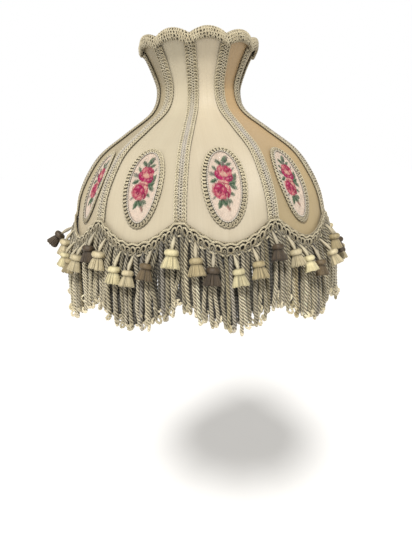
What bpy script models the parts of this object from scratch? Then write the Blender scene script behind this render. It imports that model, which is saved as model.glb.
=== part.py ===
"""A fringed, waisted lamp shade: ten fabric panels on a wire frame, hung from a tilting fitter.

The frame is metres, +Z up. The origin is the centre of the fitter's underside, the face that
sits on the lamp, and the shade's axis is Z. A rib stands at every tenth of a turn, the first
at +X, so a panel's middle faces -Y.
"""

import math

import bmesh
import bpy
import numpy as np
from mathutils import Matrix, Vector

# ---- driving dimensions, metres ----
PANELS = 10
PANEL_TURN = 2 * math.pi / PANELS
SEAT_HEIGHT = 0.212  # from the rib feet up to the fitter's seat

# the rib line: (height above the rib feet, radius of the outer braid's middle)
RIB_LINE = (
    (-0.0345, 0.2270),
    (0.0000, 0.2250),
    (0.0345, 0.2190),
    (0.0690, 0.2030),
    (0.1035, 0.1770),
    (0.1380, 0.1310),
    (0.1725, 0.0860),
    (0.2070, 0.0730),
    (0.2415, 0.0820),
    (0.2760, 0.0985),
    (0.3000, 0.1120),
)

# how far the middle of a panel is pulled in from the ribs, as a share of the radius there
PULL_IN = (
    (0.00, -0.013),
    (0.10, 0.030),
    (0.22, 0.070),
    (0.45, 0.068),
    (0.62, 0.052),
    (0.85, 0.045),
    (1.00, 0.022),
)

RIM_SCALLOP = 0.029  # how far the lower rim drops between two ribs
CROWN_SCALLOP = 0.0095  # how far the upper rim rises between two ribs
RIM_WIRE_HEIGHT = -0.006
CROWN_WIRE_HEIGHT = 0.276
CROWN_ARCH_POWER = 0.85  # under 1 the arches are full, over 1 their ends ease out
RIM_ARCH_POWER = 1.2

FABRIC_DEPTH = 0.0015  # from the rib line in to the panels' outer face
FABRIC = 0.0008
TOUCH = 0.0003  # the gap kept between pieces that touch
RIB_WIRE = 0.0014  # wire radii
RIM_WIRE = 0.0016
RIB_DEPTH = FABRIC_DEPTH + FABRIC + TOUCH + RIM_WIRE  # from the rib line in to the wires' middle
LINING_DEPTH = RIB_DEPTH + RIM_WIRE + 0.0008

LINING_SHARE = 0.972  # of the way up to the crown that the lining reaches
LINING = 0.0012

ROWS = 10  # rows of facets from rim to crown
ACROSS = 6  # facets across one panel
AROUND = ACROSS * PANELS

BRAID_WIDTH = 0.020  # two rows of gimp side by side
BRAID = 0.0024
BRAID_LIFT = 0.0009

MEDALLION_HEIGHT = 0.0530  # of its middle, above the rib feet
MEDALLION_HALF = (0.0235, 0.055)
MEDALLION_LIFT = 0.0010
MEDALLION = 0.0008
MEDALLION_BRAID_WIDTH = 0.0100
OVAL_SIDES = 16

HEADING_HEIGHT = 0.0195
HEADING = 0.0055
FRINGE_DROP = 0.1150  # below the heading
FRINGE = 0.0090
FRINGE_OUT = ((0.0, 0.0055), (0.4, 0.0165), (1.0, 0.0185))  # share down, out from the rim
TASSEL_ROW_TOP = 0.0120  # below the heading's lower edge
TASSEL_ROW_DROP = 0.0470
TASSEL_ROW = 0.0190

WASHER_RADIUS = 0.0320
WASHER_BORE = 0.0210
WASHER = 0.0020
PIN = 0.00095
PIN_ROOT = 0.0265  # from the axis to the pins' inner ends, inside the washer
PIN_REACH = 0.0435  # and to their outer ends
EYE_BORE = 0.0013
EYE = 0.0034
EYE_NEAR = 0.0365
EYE_FAR = 0.0425
EYE_CUT = (0.030, 0.046)  # where the bore's cutter starts and ends
YOKE_RING = 0.0410
YOKE_WIRE = 0.0016

REDUCER_BORE = 0.0145
REDUCER_LIP = 0.0206
REDUCER_FLANGE = 0.0260
REDUCER_SHEET = 0.0010

CREAM = (0.78, 0.70, 0.47)
LINING_IVORY = (0.80, 0.76, 0.66)
GIMP = (0.60, 0.56, 0.40)
PETIT_POINT = (0.86, 0.72, 0.62)
FRINGE_TONE = (0.62, 0.56, 0.38)
TASSEL_TONE = (0.72, 0.66, 0.42)
STEEL = (0.55, 0.55, 0.53)
BRASS = (0.72, 0.56, 0.28)


# ---- the shape of the shade ----


def spline(points, x):
    """The height of a smooth curve through the points, at x."""
    xs = [p[0] for p in points]
    ys = [p[1] for p in points]
    i = min(max(int(np.searchsorted(xs, x)) - 1, 0), len(xs) - 2)
    slopes = np.gradient(ys, xs)
    width = xs[i + 1] - xs[i]
    t = (x - xs[i]) / width
    start = (2 * t**3 - 3 * t**2 + 1) * ys[i] + (t**3 - 2 * t**2 + t) * width * slopes[i]
    end = (-2 * t**3 + 3 * t**2) * ys[i + 1] + (t**3 - t**2) * width * slopes[i + 1]
    return start + end


def arch(u, power):
    """0 at the ribs, where u is -1 and 1, and 1 in the middle of a panel."""
    return max(math.cos(math.pi * u / 2), 0.0) ** power


def rim_height(u):
    return RIM_WIRE_HEIGHT - RIM_SCALLOP * arch(u, RIM_ARCH_POWER)


def crown_height(u):
    return CROWN_WIRE_HEIGHT + CROWN_SCALLOP * arch(u, CROWN_ARCH_POWER)


def skin_radius(u, v):
    """The radius over the panels, level with the rib line, at u across a panel and v up it."""
    height = rim_height(u) + v * (crown_height(u) - rim_height(u))
    return spline(RIB_LINE, height) * (1 - spline(PULL_IN, v) * (1 - u * u))


def skin_point(u, v, panel):
    height = rim_height(u) + v * (crown_height(u) - rim_height(u))
    turn = (panel + 0.5 + u / 2) * PANEL_TURN
    radius = skin_radius(u, v)
    return Vector((radius * math.cos(turn), radius * math.sin(turn), height - SEAT_HEIGHT))


def skin(u, v, panel, depth):
    """A point on the panel, this far inside the rib line's surface."""
    step = 0.004
    turn = (panel + 0.5 + u / 2) * PANEL_TURN
    around = Vector((-math.sin(turn), math.cos(turn), 0))
    up = skin_point(u, v + step, panel) - skin_point(u, v - step, panel)
    return skin_point(u, v, panel) - depth * around.cross(up).normalized()


def facet(u, v, panel, depth):
    """The same point on the flat facets between the rows, so that layers of facets stay clear."""
    row = min(int(v * ROWS), ROWS - 1)
    low = skin(u, row / ROWS, panel, depth)
    high = skin(u, (row + 1) / ROWS, panel, depth)
    return low.lerp(high, v * ROWS - row)


def rows_between(low, high):
    """The rows of facets from one share of the way up to another."""
    return [low] + [i / ROWS for i in range(ROWS + 1) if low < i / ROWS < high] + [high]


def share_up(height, u=1.0):
    """How far up a panel a height above the rib feet is, from 0 to 1."""
    return (height - rim_height(u)) / (crown_height(u) - rim_height(u))


def place_around(turn):
    """The panel at this turn about the axis, and u across it."""
    panel, within = divmod(turn / PANEL_TURN, 1.0)
    return int(round(panel)), 2 * within - 1


def out_to(turn, radius, height):
    return Vector((radius * math.cos(turn), radius * math.sin(turn), height - SEAT_HEIGHT))


# ---- making and finishing objects ----


def clear_scene():
    for obj in list(bpy.data.objects):
        bpy.data.objects.remove(obj, do_unlink=True)


def make_collection(name):
    collection = bpy.data.collections.new(name)
    bpy.context.scene.collection.children.link(collection)
    return collection


def new_object(name, data, collection):
    obj = bpy.data.objects.new(name, data)
    collection.objects.link(obj)
    return obj


def mesh_object(name, bm, collection):
    mesh = bpy.data.meshes.new(name)
    bm.to_mesh(mesh)
    bm.free()
    return new_object(name, mesh, collection)


def finish(obj, color, roughness, metallic=0.0, smooth=True):
    material = bpy.data.materials.new(obj.name + "_finish")
    material.use_nodes = True
    shader = material.node_tree.nodes["Principled BSDF"]
    shader.inputs["Base Color"].default_value = (*color, 1)
    shader.inputs["Roughness"].default_value = roughness
    shader.inputs["Metallic"].default_value = metallic
    material.diffuse_color = (*color, 1)
    obj.data.materials.append(material)
    if smooth and obj.type == "MESH":
        obj.data.shade_smooth()
        obj.data.set_sharp_from_angle(angle=math.radians(40))
    return obj


def thicken(obj, thickness, outward=False):
    """Makes a closed sheet of an open surface, which stays its outer face unless it grows outward."""
    solidify = obj.modifiers.new("thickness", "SOLIDIFY")
    solidify.thickness = thickness
    solidify.offset = 1 if outward else -1
    solidify.use_even_offset = True
    return obj


def grid_surface(name, across, along, place, collection):
    """An open surface: place(x, y) gives the point for x and y from -1 to 1."""
    bm = bmesh.new()
    bmesh.ops.create_grid(bm, x_segments=across, y_segments=along, size=1)
    for vert in bm.verts:
        vert.co = place(vert.co.x, vert.co.y)
    bmesh.ops.remove_doubles(bm, verts=bm.verts, dist=0.00005)
    return mesh_object(name, bm, collection)


def ring_solid(name, section, place, collection, around=AROUND):
    """A closed band right round the shade: place(turn, point) puts a section's point."""
    bpy.ops.mesh.primitive_torus_add(major_segments=around, minor_segments=len(section))
    obj = bpy.context.object
    obj.name = name
    for owner in list(obj.users_collection):
        owner.objects.unlink(obj)
    collection.objects.link(obj)
    for i in range(around):
        turn = 2 * math.pi * i / around
        for j, point in enumerate(section):
            obj.data.vertices[i * len(section) + j].co = place(turn, point)
    return obj


def wire(name, points, radius, collection, resolution=1, cyclic=False):
    curve = bpy.data.curves.new(name, "CURVE")
    curve.dimensions = "3D"
    curve.bevel_depth = radius
    curve.bevel_resolution = resolution
    curve.use_fill_caps = not cyclic
    spline_data = curve.splines.new("POLY")
    spline_data.points.add(len(points) - 1)
    spline_data.use_cyclic_u = cyclic
    for at, point in zip(spline_data.points, points):
        at.co = (*point, 1)
    return new_object(name, curve, collection)


def wire_as_mesh(obj, collection):
    """The same wire as a welded mesh, which a Boolean can take."""
    evaluated = obj.evaluated_get(bpy.context.evaluated_depsgraph_get())
    mesh = bpy.data.meshes.new_from_object(evaluated)
    bm = bmesh.new()
    bm.from_mesh(mesh)
    bmesh.ops.remove_doubles(bm, verts=bm.verts, dist=0.00001)
    bm.to_mesh(mesh)
    bm.free()
    made = new_object(obj.name + "_mesh", mesh, collection)
    made.matrix_world = obj.matrix_world.copy()
    bpy.data.objects.remove(obj, do_unlink=True)
    return made


def cylinder(name, radius, start, end, collection, sides=16):
    """A solid cylinder along X."""
    bm = bmesh.new()
    lying = Matrix.Translation(((start + end) / 2, 0, 0)) @ Matrix.Rotation(math.pi / 2, 4, "Y")
    length = abs(end - start)
    bmesh.ops.create_cone(
        bm, cap_ends=True, segments=sides, radius1=radius, radius2=radius, depth=length, matrix=lying
    )
    return mesh_object(name, bm, collection)


def hide_cutter(obj):
    obj.hide_render = True
    obj.display_type = "WIRE"
    return obj


def boolean(target, other, operation):
    modifier = target.modifiers.new(operation.lower(), "BOOLEAN")
    modifier.operation = operation
    modifier.solver = "EXACT"
    modifier.object = hide_cutter(other)


# ---- the frame ----


def circle_section(radius, points):
    turns = [2 * math.pi * i / points for i in range(points)]
    return [(radius * math.cos(t), radius * math.sin(t)) for t in turns]


def around_wire(turn, v, point):
    """A section's point, from the middle of the scalloped wire at v."""
    panel, u = place_around(turn)
    middle = skin(u, v, panel, RIB_DEPTH)
    radius = math.hypot(middle.x, middle.y) + point[0]
    return Vector((radius * math.cos(turn), radius * math.sin(turn), middle.z + point[1]))


def make_scalloped_ring(name, v, collection):
    """A scalloped ring of wire behind the panels' edge."""

    def place(turn, point):
        return around_wire(turn, v, point)

    ring = ring_solid(name, circle_section(RIM_WIRE, 6), place, collection)
    return finish(ring, STEEL, 0.45, 1.0)


def make_rib(number, collection):
    """A rib of wire from the lower ring to the upper one, a touch short of both."""
    clear = RIM_WIRE + 2 * TOUCH
    low = share_up(RIM_WIRE_HEIGHT + clear)
    high = share_up(CROWN_WIRE_HEIGHT - clear)
    points = [facet(1.0, v, number - 1, RIB_DEPTH) for v in rows_between(low, high)]
    rib = wire(f"rib_{number:02d}", points, RIB_WIRE, collection)
    return finish(rib, STEEL, 0.45, 1.0)


# ---- the fabric ----


def make_panel(number, collection):
    def place(x, y):
        v = (y + 1) / 2
        half_width = skin_radius(1.0, v) * PANEL_TURN / 2
        u = x * (1 - 2 * TOUCH / half_width)
        return skin(u, v, number, FABRIC_DEPTH)

    panel = grid_surface(f"panel_{number:02d}", ACROSS, ROWS, place, collection)
    thicken(panel, FABRIC)
    return finish(panel, CREAM, 0.55)


def make_lining(collection):
    def place(turn, point):
        panel, u = place_around(turn)
        return facet(u, point[1], panel, LINING_DEPTH + point[0] * LINING)

    rows = rows_between(0.0, LINING_SHARE)
    section = [(0, v) for v in rows] + [(1, v) for v in reversed(rows)]
    lining = ring_solid("lining", section, place, collection, around=10 * PANELS)
    return finish(lining, LINING_IVORY, 0.6)


def make_rib_braid(number, collection):
    """Two rows of gimp glued over the seam of two panels, from the heading up to the crown braid."""
    rows = rows_between(share_up(0.0008), share_up(CROWN_WIRE_HEIGHT - 0.0095))

    def place(x, y):
        v = rows[round((y + 1) / 2 * (len(rows) - 1))]
        share = BRAID_WIDTH / (skin_radius(1.0, v) * PANEL_TURN)
        if x > 0:
            return facet(-1 + share * x, v, number, FABRIC_DEPTH - BRAID_LIFT)
        return facet(1 + share * x, v, number - 1, FABRIC_DEPTH - BRAID_LIFT)

    braid = grid_surface(f"rib_braid_{number:02d}", 2, len(rows) - 1, place, collection)
    thicken(braid, BRAID, outward=True)
    return finish(braid, GIMP, 0.8)


# ---- the medallions ----


def arc_up(height):
    """The length along the middle of a panel from the medallion's middle up to a height."""
    steps = np.linspace(MEDALLION_HEIGHT, height, 24)
    radii = [spline(RIB_LINE, h) for h in steps]
    return float(np.sign(height - MEDALLION_HEIGHT) * np.hypot(np.diff(steps), np.diff(radii)).sum())


MEDALLION_HEIGHTS = np.linspace(-0.03, 0.13, 33)
MEDALLION_ARCS = [arc_up(height) for height in MEDALLION_HEIGHTS]


def on_panel(across, up, panel, depth):
    """A point on a panel, from the lengths across and up from the medallion's middle."""
    height = float(np.interp(up, MEDALLION_ARCS, MEDALLION_HEIGHTS))
    v = share_up(height, 0.0)
    radius = skin_radius(0.0, v)
    u = across / (radius * PANEL_TURN / 2)
    v = share_up(height, u)
    return skin(u, v, panel, depth)


def make_medallion(number, collection):
    def place(x, y):
        turn = math.pi * x
        share = (y + 1) / 2
        across = share * MEDALLION_HALF[0] * math.cos(turn)
        up = share * MEDALLION_HALF[1] * math.sin(turn)
        return on_panel(across, up, number, FABRIC_DEPTH - MEDALLION_LIFT)

    medallion = grid_surface(f"medallion_{number:02d}", OVAL_SIDES, 2, place, collection)
    face_out(medallion)
    thicken(medallion, MEDALLION, outward=True)
    return finish(medallion, PETIT_POINT, 0.9)


def make_medallion_braid(number, collection):
    def place(x, y):
        turn = math.pi * x
        out = 2 * TOUCH + MEDALLION_BRAID_WIDTH * (y + 1) / 2
        across = (MEDALLION_HALF[0] + out) * math.cos(turn)
        up = (MEDALLION_HALF[1] + out) * math.sin(turn)
        return on_panel(across, up, number, FABRIC_DEPTH - MEDALLION_LIFT)

    braid = grid_surface(f"medallion_braid_{number:02d}", OVAL_SIDES, 1, place, collection)
    face_out(braid)
    thicken(braid, BRAID, outward=True)
    return finish(braid, GIMP, 0.8)


def face_out(obj):
    """Turns an open surface's faces away from the shade's axis."""
    bm = bmesh.new()
    bm.from_mesh(obj.data)
    bm.normal_update()
    for face in bm.faces:
        middle = face.calc_center_median()
        if face.normal.x * middle.x + face.normal.y * middle.y < 0:
            face.normal_flip()
    bm.to_mesh(obj.data)
    bm.free()


# ---- the trims ----


def make_crown_braid(collection):
    """A plump braid folded over the upper ring, as a hook-shaped band."""
    section = (
        (0.0020, -0.0118),
        (0.0045, -0.0121),
        (0.0058, -0.0060),
        (0.0055, 0.0002),
        (0.0025, 0.0036),
        (-0.0045, 0.0042),
        (-0.0050, 0.0023),
        (0.0018, 0.0021),
        (0.0034, -0.0020),
    )

    def place(turn, point):
        return around_wire(turn, 1.0, point)

    braid = ring_solid("crown_braid", section, place, collection)
    return finish(braid, GIMP, 0.8)


def rim_outside(u):
    """The radius of the panels' outer face at the lower rim."""
    at = skin(u, 0.0, 0, FABRIC_DEPTH)
    return math.hypot(at.x, at.y)


def heading_top(u):
    return rim_height(u) - RIM_WIRE_HEIGHT


def make_heading(collection):
    """The scroll gimp over the lower rim."""
    section = ((1, -1), (1, 0), (0, 0), (0, -1))

    def place(turn, point):
        _, u = place_around(turn)
        radius = rim_outside(u) + 2 * TOUCH + HEADING * point[0]
        return out_to(turn, radius, heading_top(u) + HEADING_HEIGHT * point[1])

    heading = ring_solid("heading_braid", section, place, collection)
    return finish(heading, GIMP, 0.8)


def fringe_middle(u, share):
    """The radius of the fringe's middle, this share of the way down."""
    shares, reach = zip(*FRINGE_OUT)
    return rim_outside(u) + float(np.interp(share, shares, reach))


def make_fringe(collection):
    """The skirt of hanging cords as one plain band."""
    section = ((1, 1), (1, 0.4), (1, 0), (-1, 0), (-1, 0.4), (-1, 1))

    def place(turn, point):
        _, u = place_around(turn)
        radius = fringe_middle(u, point[1]) + FRINGE / 2 * point[0]
        top = heading_top(u) - HEADING_HEIGHT - TOUCH
        return out_to(turn, radius, top - FRINGE_DROP * point[1])

    fringe = ring_solid("bullion_fringe", section, place, collection)
    return finish(fringe, FRINGE_TONE, 0.8)


def make_tassel_row(collection):
    """The row of tassels in front of the fringe as one plain band."""
    section = ((1, 1), (0.55, 0.35), (0, 0), (0, 1))

    def place(turn, point):
        _, u = place_around(turn)
        share = (TASSEL_ROW_TOP + (TASSEL_ROW_DROP - TASSEL_ROW_TOP) * point[1]) / FRINGE_DROP
        inner = fringe_middle(u, share) + FRINGE / 2 + 2 * TOUCH
        height = heading_top(u) - HEADING_HEIGHT - FRINGE_DROP * share
        return out_to(turn, inner + TASSEL_ROW * point[0], height)

    row = ring_solid("tassel_row", section, place, collection)
    return finish(row, TASSEL_TONE, 0.8)


# ---- the fitter ----


def turned(name, outline, collection, steps=32):
    """A solid of revolution about Z, from (radius, height) points down its outer side first."""
    bm = bmesh.new()
    verts = [bm.verts.new((r, 0, z)) for r, z in outline]
    for a, b in zip(verts, verts[1:] + verts[:1]):
        bm.edges.new((a, b))
    obj = mesh_object(name, bm, collection)
    screw = obj.modifiers.new("turn", "SCREW")
    screw.steps = steps
    screw.render_steps = steps
    screw.use_merge_vertices = True
    screw.merge_threshold = 0.00001
    return obj


def make_washer(collection, cutters, pivot):
    outline = (
        (WASHER_RADIUS, WASHER),
        (WASHER_RADIUS, 0),
        (WASHER_BORE, 0),
        (WASHER_BORE, WASHER),
    )
    washer = turned("fitter_washer", outline, collection, steps=40)
    for side in (-1, 1):
        hand = "left" if side < 0 else "right"
        pin = cylinder(f"pin_{hand}", PIN, side * PIN_ROOT, side * PIN_REACH, cutters, sides=12)
        pin.location.z = pivot
        boolean(washer, pin, "UNION")
    return finish(washer, BRASS, 0.35, 1.0)


def make_yoke(collection, cutters, pivot):
    """A ring about the washer with an eye at each pin, and an arm from each eye to the crown."""
    turns = [2 * math.pi * (i + 0.5) / 32 for i in range(32)]
    circle = [(YOKE_RING * math.cos(t), YOKE_RING * math.sin(t), pivot) for t in turns]
    yoke = wire_as_mesh(wire("yoke_ring", circle, YOKE_WIRE, cutters, cyclic=True), collection)
    yoke.name = "fitter_yoke"
    ring_wire = skin(1.0, 1.0, PANELS - 1, RIB_DEPTH)
    ring = math.hypot(ring_wire.x, ring_wire.y)
    crown = ring_wire.z
    for side in (-1, 1):
        hand = "left" if side < 0 else "right"
        eye = cylinder(f"eye_{hand}", EYE, side * EYE_NEAR, side * EYE_FAR, cutters)
        eye.location.z = pivot
        boolean(yoke, eye, "UNION")
        route = (
            (side * (EYE_FAR - 0.002), 0, pivot + 0.0025),
            (side * (EYE_FAR + 0.006), 0, pivot + 0.012),
            (side * 0.062, 0, crown * 0.55),
            (side * (ring - 0.013), 0, crown - 0.006),
            (side * (ring - 0.007), 0, crown - 0.0008),
            (side * (ring - RIM_WIRE - 1.5 * TOUCH), 0, crown + 0.0004),
        )
        arm = wire_as_mesh(wire(f"arm_{hand}", route, YOKE_WIRE, cutters), cutters)
        boolean(yoke, arm, "UNION")
        near, far = EYE_CUT
        bore = cylinder(f"bore_{hand}", EYE_BORE, side * near, side * far, cutters, sides=20)
        bore.location.z = pivot
        boolean(yoke, bore, "DIFFERENCE")
    return finish(yoke, STEEL, 0.45, 1.0)


def make_reducer(collection):
    """A stepped insert that rests in the washer and narrows its bore."""
    flange_low = WASHER + TOUCH
    flange_high = flange_low + REDUCER_SHEET
    outline = (
        (REDUCER_FLANGE, flange_high),
        (REDUCER_FLANGE, flange_low),
        (REDUCER_LIP, flange_low),
        (REDUCER_LIP, 0),
        (REDUCER_BORE, 0),
        (REDUCER_BORE, REDUCER_SHEET),
        (REDUCER_LIP - REDUCER_SHEET, REDUCER_SHEET),
        (REDUCER_LIP - REDUCER_SHEET, flange_high),
    )
    reducer = turned("reducer_insert", outline, collection, steps=28)
    return finish(reducer, BRASS, 0.35, 1.0)


def main():
    clear_scene()
    shade = make_collection("fringed_lamp_shade")
    cutters = make_collection("cutters")
    pivot = WASHER / 2
    make_scalloped_ring("crown_ring", 1.0, shade)
    make_scalloped_ring("lower_ring", 0.0, shade)
    for number in range(PANELS):
        make_rib(number, shade)
        make_panel(number, shade)
        make_rib_braid(number, shade)
        make_medallion(number, shade)
        make_medallion_braid(number, shade)
    make_lining(shade)
    make_crown_braid(shade)
    make_heading(shade)
    make_fringe(shade)
    make_tassel_row(shade)
    make_washer(shade, cutters, pivot)
    make_yoke(shade, cutters, pivot)
    make_reducer(shade)


main()
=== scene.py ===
import math

import bpy
import numpy as np
from mathutils import Matrix


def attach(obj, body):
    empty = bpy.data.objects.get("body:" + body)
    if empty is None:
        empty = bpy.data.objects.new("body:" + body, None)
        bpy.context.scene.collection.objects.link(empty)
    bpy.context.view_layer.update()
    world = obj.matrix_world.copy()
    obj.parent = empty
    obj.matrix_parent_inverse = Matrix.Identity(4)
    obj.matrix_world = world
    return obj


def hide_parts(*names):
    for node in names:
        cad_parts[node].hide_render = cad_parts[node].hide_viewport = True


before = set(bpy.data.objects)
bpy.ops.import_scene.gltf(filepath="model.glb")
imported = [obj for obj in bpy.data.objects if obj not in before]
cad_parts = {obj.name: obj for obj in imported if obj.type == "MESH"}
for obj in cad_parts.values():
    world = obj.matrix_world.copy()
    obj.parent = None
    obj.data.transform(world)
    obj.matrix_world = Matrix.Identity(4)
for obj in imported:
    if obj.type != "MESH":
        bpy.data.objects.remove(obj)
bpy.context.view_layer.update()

# ---- the shape of the shade, as the frame has it ----

PANELS = 10
PANEL_TURN = 2 * math.pi / PANELS
SEAT_HEIGHT = 0.212
RIB_LINE = (
    (-0.0345, 0.2270),
    (0.0000, 0.2250),
    (0.0345, 0.2190),
    (0.0690, 0.2030),
    (0.1035, 0.1770),
    (0.1380, 0.1310),
    (0.1725, 0.0860),
    (0.2070, 0.0730),
    (0.2415, 0.0820),
    (0.2760, 0.0985),
    (0.3000, 0.1120),
)
PULL_IN = (
    (0.00, -0.013),
    (0.10, 0.030),
    (0.22, 0.070),
    (0.45, 0.068),
    (0.62, 0.052),
    (0.85, 0.045),
    (1.00, 0.022),
)
RIM_SCALLOP = 0.029
CROWN_SCALLOP = 0.0095
RIM_WIRE_HEIGHT = -0.006
CROWN_WIRE_HEIGHT = 0.276
CROWN_ARCH_POWER = 0.85
RIM_ARCH_POWER = 1.2
FABRIC_DEPTH = 0.0015
FABRIC = 0.0008
CLOTH_LENGTH = 0.33
TOUCH = 0.0003
RIB_DEPTH = 0.0042
LINING_DEPTH = 0.0066
LINING_SHARE = 0.972
MEDALLION_HEIGHT = 0.053
MEDALLION_HALF = (0.0235, 0.055)
HEADING_HEIGHT = 0.0195
HEADING_PEAK = 0.0050
FRINGE_DROP = 0.1150
FRINGE_START = 0.0042
FRINGE_REACH = 0.0185

WASHER_RADIUS = 0.0320
WASHER_BORE = 0.0210
WASHER = 0.0020
REDUCER_BORE = 0.0145
REDUCER_LIP = 0.0206
REDUCER_FLANGE = 0.0260
REDUCER_SHEET = 0.0010
YOKE_RING = 0.0410
YOKE_WIRE = 0.0016
EYE = 0.0034
EYE_NEAR = 0.0365
EYE_FAR = 0.0425
PIN = 0.00095
PIN_REACH = 0.0435


def unit(vectors):
    return vectors / np.maximum(np.linalg.norm(vectors, axis=-1, keepdims=True), 1e-12)


def spline(points, x):
    """A smooth curve through the points, read at x."""
    xs, ys = np.array(points).T
    x = np.asarray(x, float)
    i = np.clip(np.searchsorted(xs, x) - 1, 0, len(xs) - 2)
    slopes = np.gradient(ys, xs)
    width = xs[i + 1] - xs[i]
    t = (x - xs[i]) / width
    start = (2 * t**3 - 3 * t**2 + 1) * ys[i] + (t**3 - 2 * t**2 + t) * width * slopes[i]
    end = (-2 * t**3 + 3 * t**2) * ys[i + 1] + (t**3 - t**2) * width * slopes[i + 1]
    return start + end


def lengths_along(points):
    """The length along a path from its first point to each of its points."""
    hops = np.linalg.norm(np.diff(points, axis=0), axis=1)
    return np.concatenate([[0], np.cumsum(hops)])


def full_turn(steps):
    """Evenly spaced turns, once round."""
    return np.linspace(0, 2 * np.pi, steps + 1)[:-1]


def way_out(turn):
    """The level way out from the axis at a turn."""
    return np.stack([np.cos(turn), np.sin(turn), 0 * turn], -1)


def arch(u, power):
    """0 at the ribs, where u is -1 and 1, and 1 in the middle of a panel."""
    return np.maximum(np.cos(np.pi * u / 2), 0.0) ** power


def rim_height(u):
    return RIM_WIRE_HEIGHT - RIM_SCALLOP * arch(u, RIM_ARCH_POWER)


def crown_height(u):
    return CROWN_WIRE_HEIGHT + CROWN_SCALLOP * arch(u, CROWN_ARCH_POWER)


def skin_radius(u, v):
    height = rim_height(u) + v * (crown_height(u) - rim_height(u))
    return spline(RIB_LINE, height) * (1 - spline(PULL_IN, v) * (1 - u * u))


def across_panel(turn):
    """Where a turn about the axis falls across its panel: -1 and 1 at the ribs."""
    share = np.asarray(turn) / PANEL_TURN
    return 2 * (share - np.floor(share)) - 1


def out_to(turn, radius, height):
    turn, radius, height = np.broadcast_arrays(turn, radius, height)
    return np.stack([radius * np.cos(turn), radius * np.sin(turn), height - SEAT_HEIGHT], -1)


def share_up(turn, height):
    u = across_panel(turn)
    return (height - rim_height(u)) / (crown_height(u) - rim_height(u))


def skin(turn, v, out=0.0):
    """Points this far outside the panels' outer face, and the way out from there."""
    u = across_panel(turn)
    step = 0.004

    def at(share):
        height = rim_height(u) + share * (crown_height(u) - rim_height(u))
        return out_to(turn, skin_radius(u, share), height)

    turn = np.asarray(turn, float)
    around = np.stack([-np.sin(turn), np.cos(turn), np.zeros_like(turn)], -1)
    around = np.broadcast_to(around, at(v).shape)
    normal = unit(np.cross(around, at(v + step) - at(v - step)))
    depth = FABRIC_DEPTH - np.asarray(out, float)
    return at(v) - depth[..., None] * normal, normal


def rim_outside(u):
    """The radius of the panels' outer face at the lower rim."""
    turn = (u + 1) / 2 * PANEL_TURN * 0.999999
    at, _ = skin(turn, 0.0 * u)
    return np.hypot(at[..., 0], at[..., 1])


def heading_top(u):
    return rim_height(u) - RIM_WIRE_HEIGHT + HEADING_PEAK * (1 - arch(u, RIM_ARCH_POWER))


# ---- colours ----

OLIVE = np.array((0.20, 0.155, 0.075))
# near-black for painted shade: down cords' sides, in ply grooves and behind the heading
SHADE_DARK = np.array((0.045, 0.034, 0.018))
GIMP = np.array((0.60, 0.52, 0.35))
BRAID = np.array((0.70, 0.62, 0.43))
# dark backing under braids: painted shade in the gaps between loops
SHADE_BACKING = np.array((0.17, 0.135, 0.07))
LILAC = np.array((0.74, 0.68, 0.58))
IVORY = np.array((0.78, 0.70, 0.52))
FLAX = np.array((0.56, 0.49, 0.30))
GOLD = np.array((0.50, 0.36, 0.15))
SILVER = np.array((0.52, 0.49, 0.46))


def mix(a, b, share):
    share = np.asarray(share)[..., None]
    return a * (1 - share) + b * share


# ---- meshes from many small closed forms ----


class Pile:
    """Points, faces, colours and thread lengths of the closed forms of one piece."""

    def __init__(self):
        self.points = []
        self.colors = []
        self.quads = []
        self.tris = []
        self.quad_threads = []
        self.tri_threads = []
        self.count = 0

    def add(self, points, colors, quads, tris, quad_threads, tri_threads):
        self.points.append(points.reshape(-1, 3))
        self.colors.append(np.broadcast_to(colors, points.shape).reshape(-1, 3))
        self.quads.append(quads.reshape(-1, 4) + self.count)
        self.tris.append(tris.reshape(-1, 3) + self.count)
        self.quad_threads.append(quad_threads.reshape(-1, 2))
        self.tri_threads.append(tri_threads.reshape(-1, 2))
        self.count += len(self.points[-1])

    def mesh(self, name):
        points = np.concatenate(self.points)
        quads = np.concatenate(self.quads)
        tris = np.concatenate(self.tris)
        made = bpy.data.meshes.new(name)
        made.vertices.add(len(points))
        made.vertices.foreach_set("co", points.astype(np.float32).ravel())
        corners = np.concatenate([quads.ravel(), tris.ravel()])
        starts = np.concatenate(
            [np.arange(len(quads)) * 4, len(quads) * 4 + np.arange(len(tris)) * 3]
        )
        made.loops.add(len(corners))
        made.loops.foreach_set("vertex_index", corners.astype(np.int32))
        made.polygons.add(len(starts))
        made.polygons.foreach_set("loop_start", starts.astype(np.int32))
        made.update(calc_edges=True)
        made.validate()
        threads = np.concatenate(self.quad_threads + self.tri_threads)
        made.uv_layers.new(name="thread").data.foreach_set("uv", threads.astype(np.float32).ravel())
        tone = made.color_attributes.new("tone", "FLOAT_COLOR", "POINT")
        colors = np.ones((len(points), 4), np.float32)
        colors[:, :3] = np.clip(np.concatenate(self.colors), 0, 1)
        tone.data.foreach_set("color", colors.ravel())
        made.shade_smooth()
        return made


def ring_quads(rings, sides, closed):
    """The ring, the side and the corners of each quad between rings of points."""
    rows = np.arange(rings if closed else rings - 1)
    i, j = np.meshgrid(rows, np.arange(sides), indexing="ij")
    low = i * sides
    high = (i + 1) % rings * sides
    after = (j + 1) % sides
    return i, j, np.stack([low + j, high + j, high + after, low + after], -1)


def path_ways(paths, closed, axes):
    """The way ahead at each step of each path."""
    if axes is not None:
        return unit(np.broadcast_to(axes, paths.shape))
    if closed:
        return unit(np.roll(paths, -1, 1) - np.roll(paths, 1, 1))
    return unit(np.gradient(paths, axis=1))


def carried_normals(ahead):
    """A way across each path, carried along it without a twist."""
    normals = np.zeros_like(ahead)
    start = np.where(np.abs(ahead[:, 0, 2:]) > 0.9, (1.0, 0, 0), (0, 0, 1.0))
    for i in range(ahead.shape[1]):
        start = unit(start - (start * ahead[:, i]).sum(-1, keepdims=True) * ahead[:, i])
        normals[:, i] = start
    return normals


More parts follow.
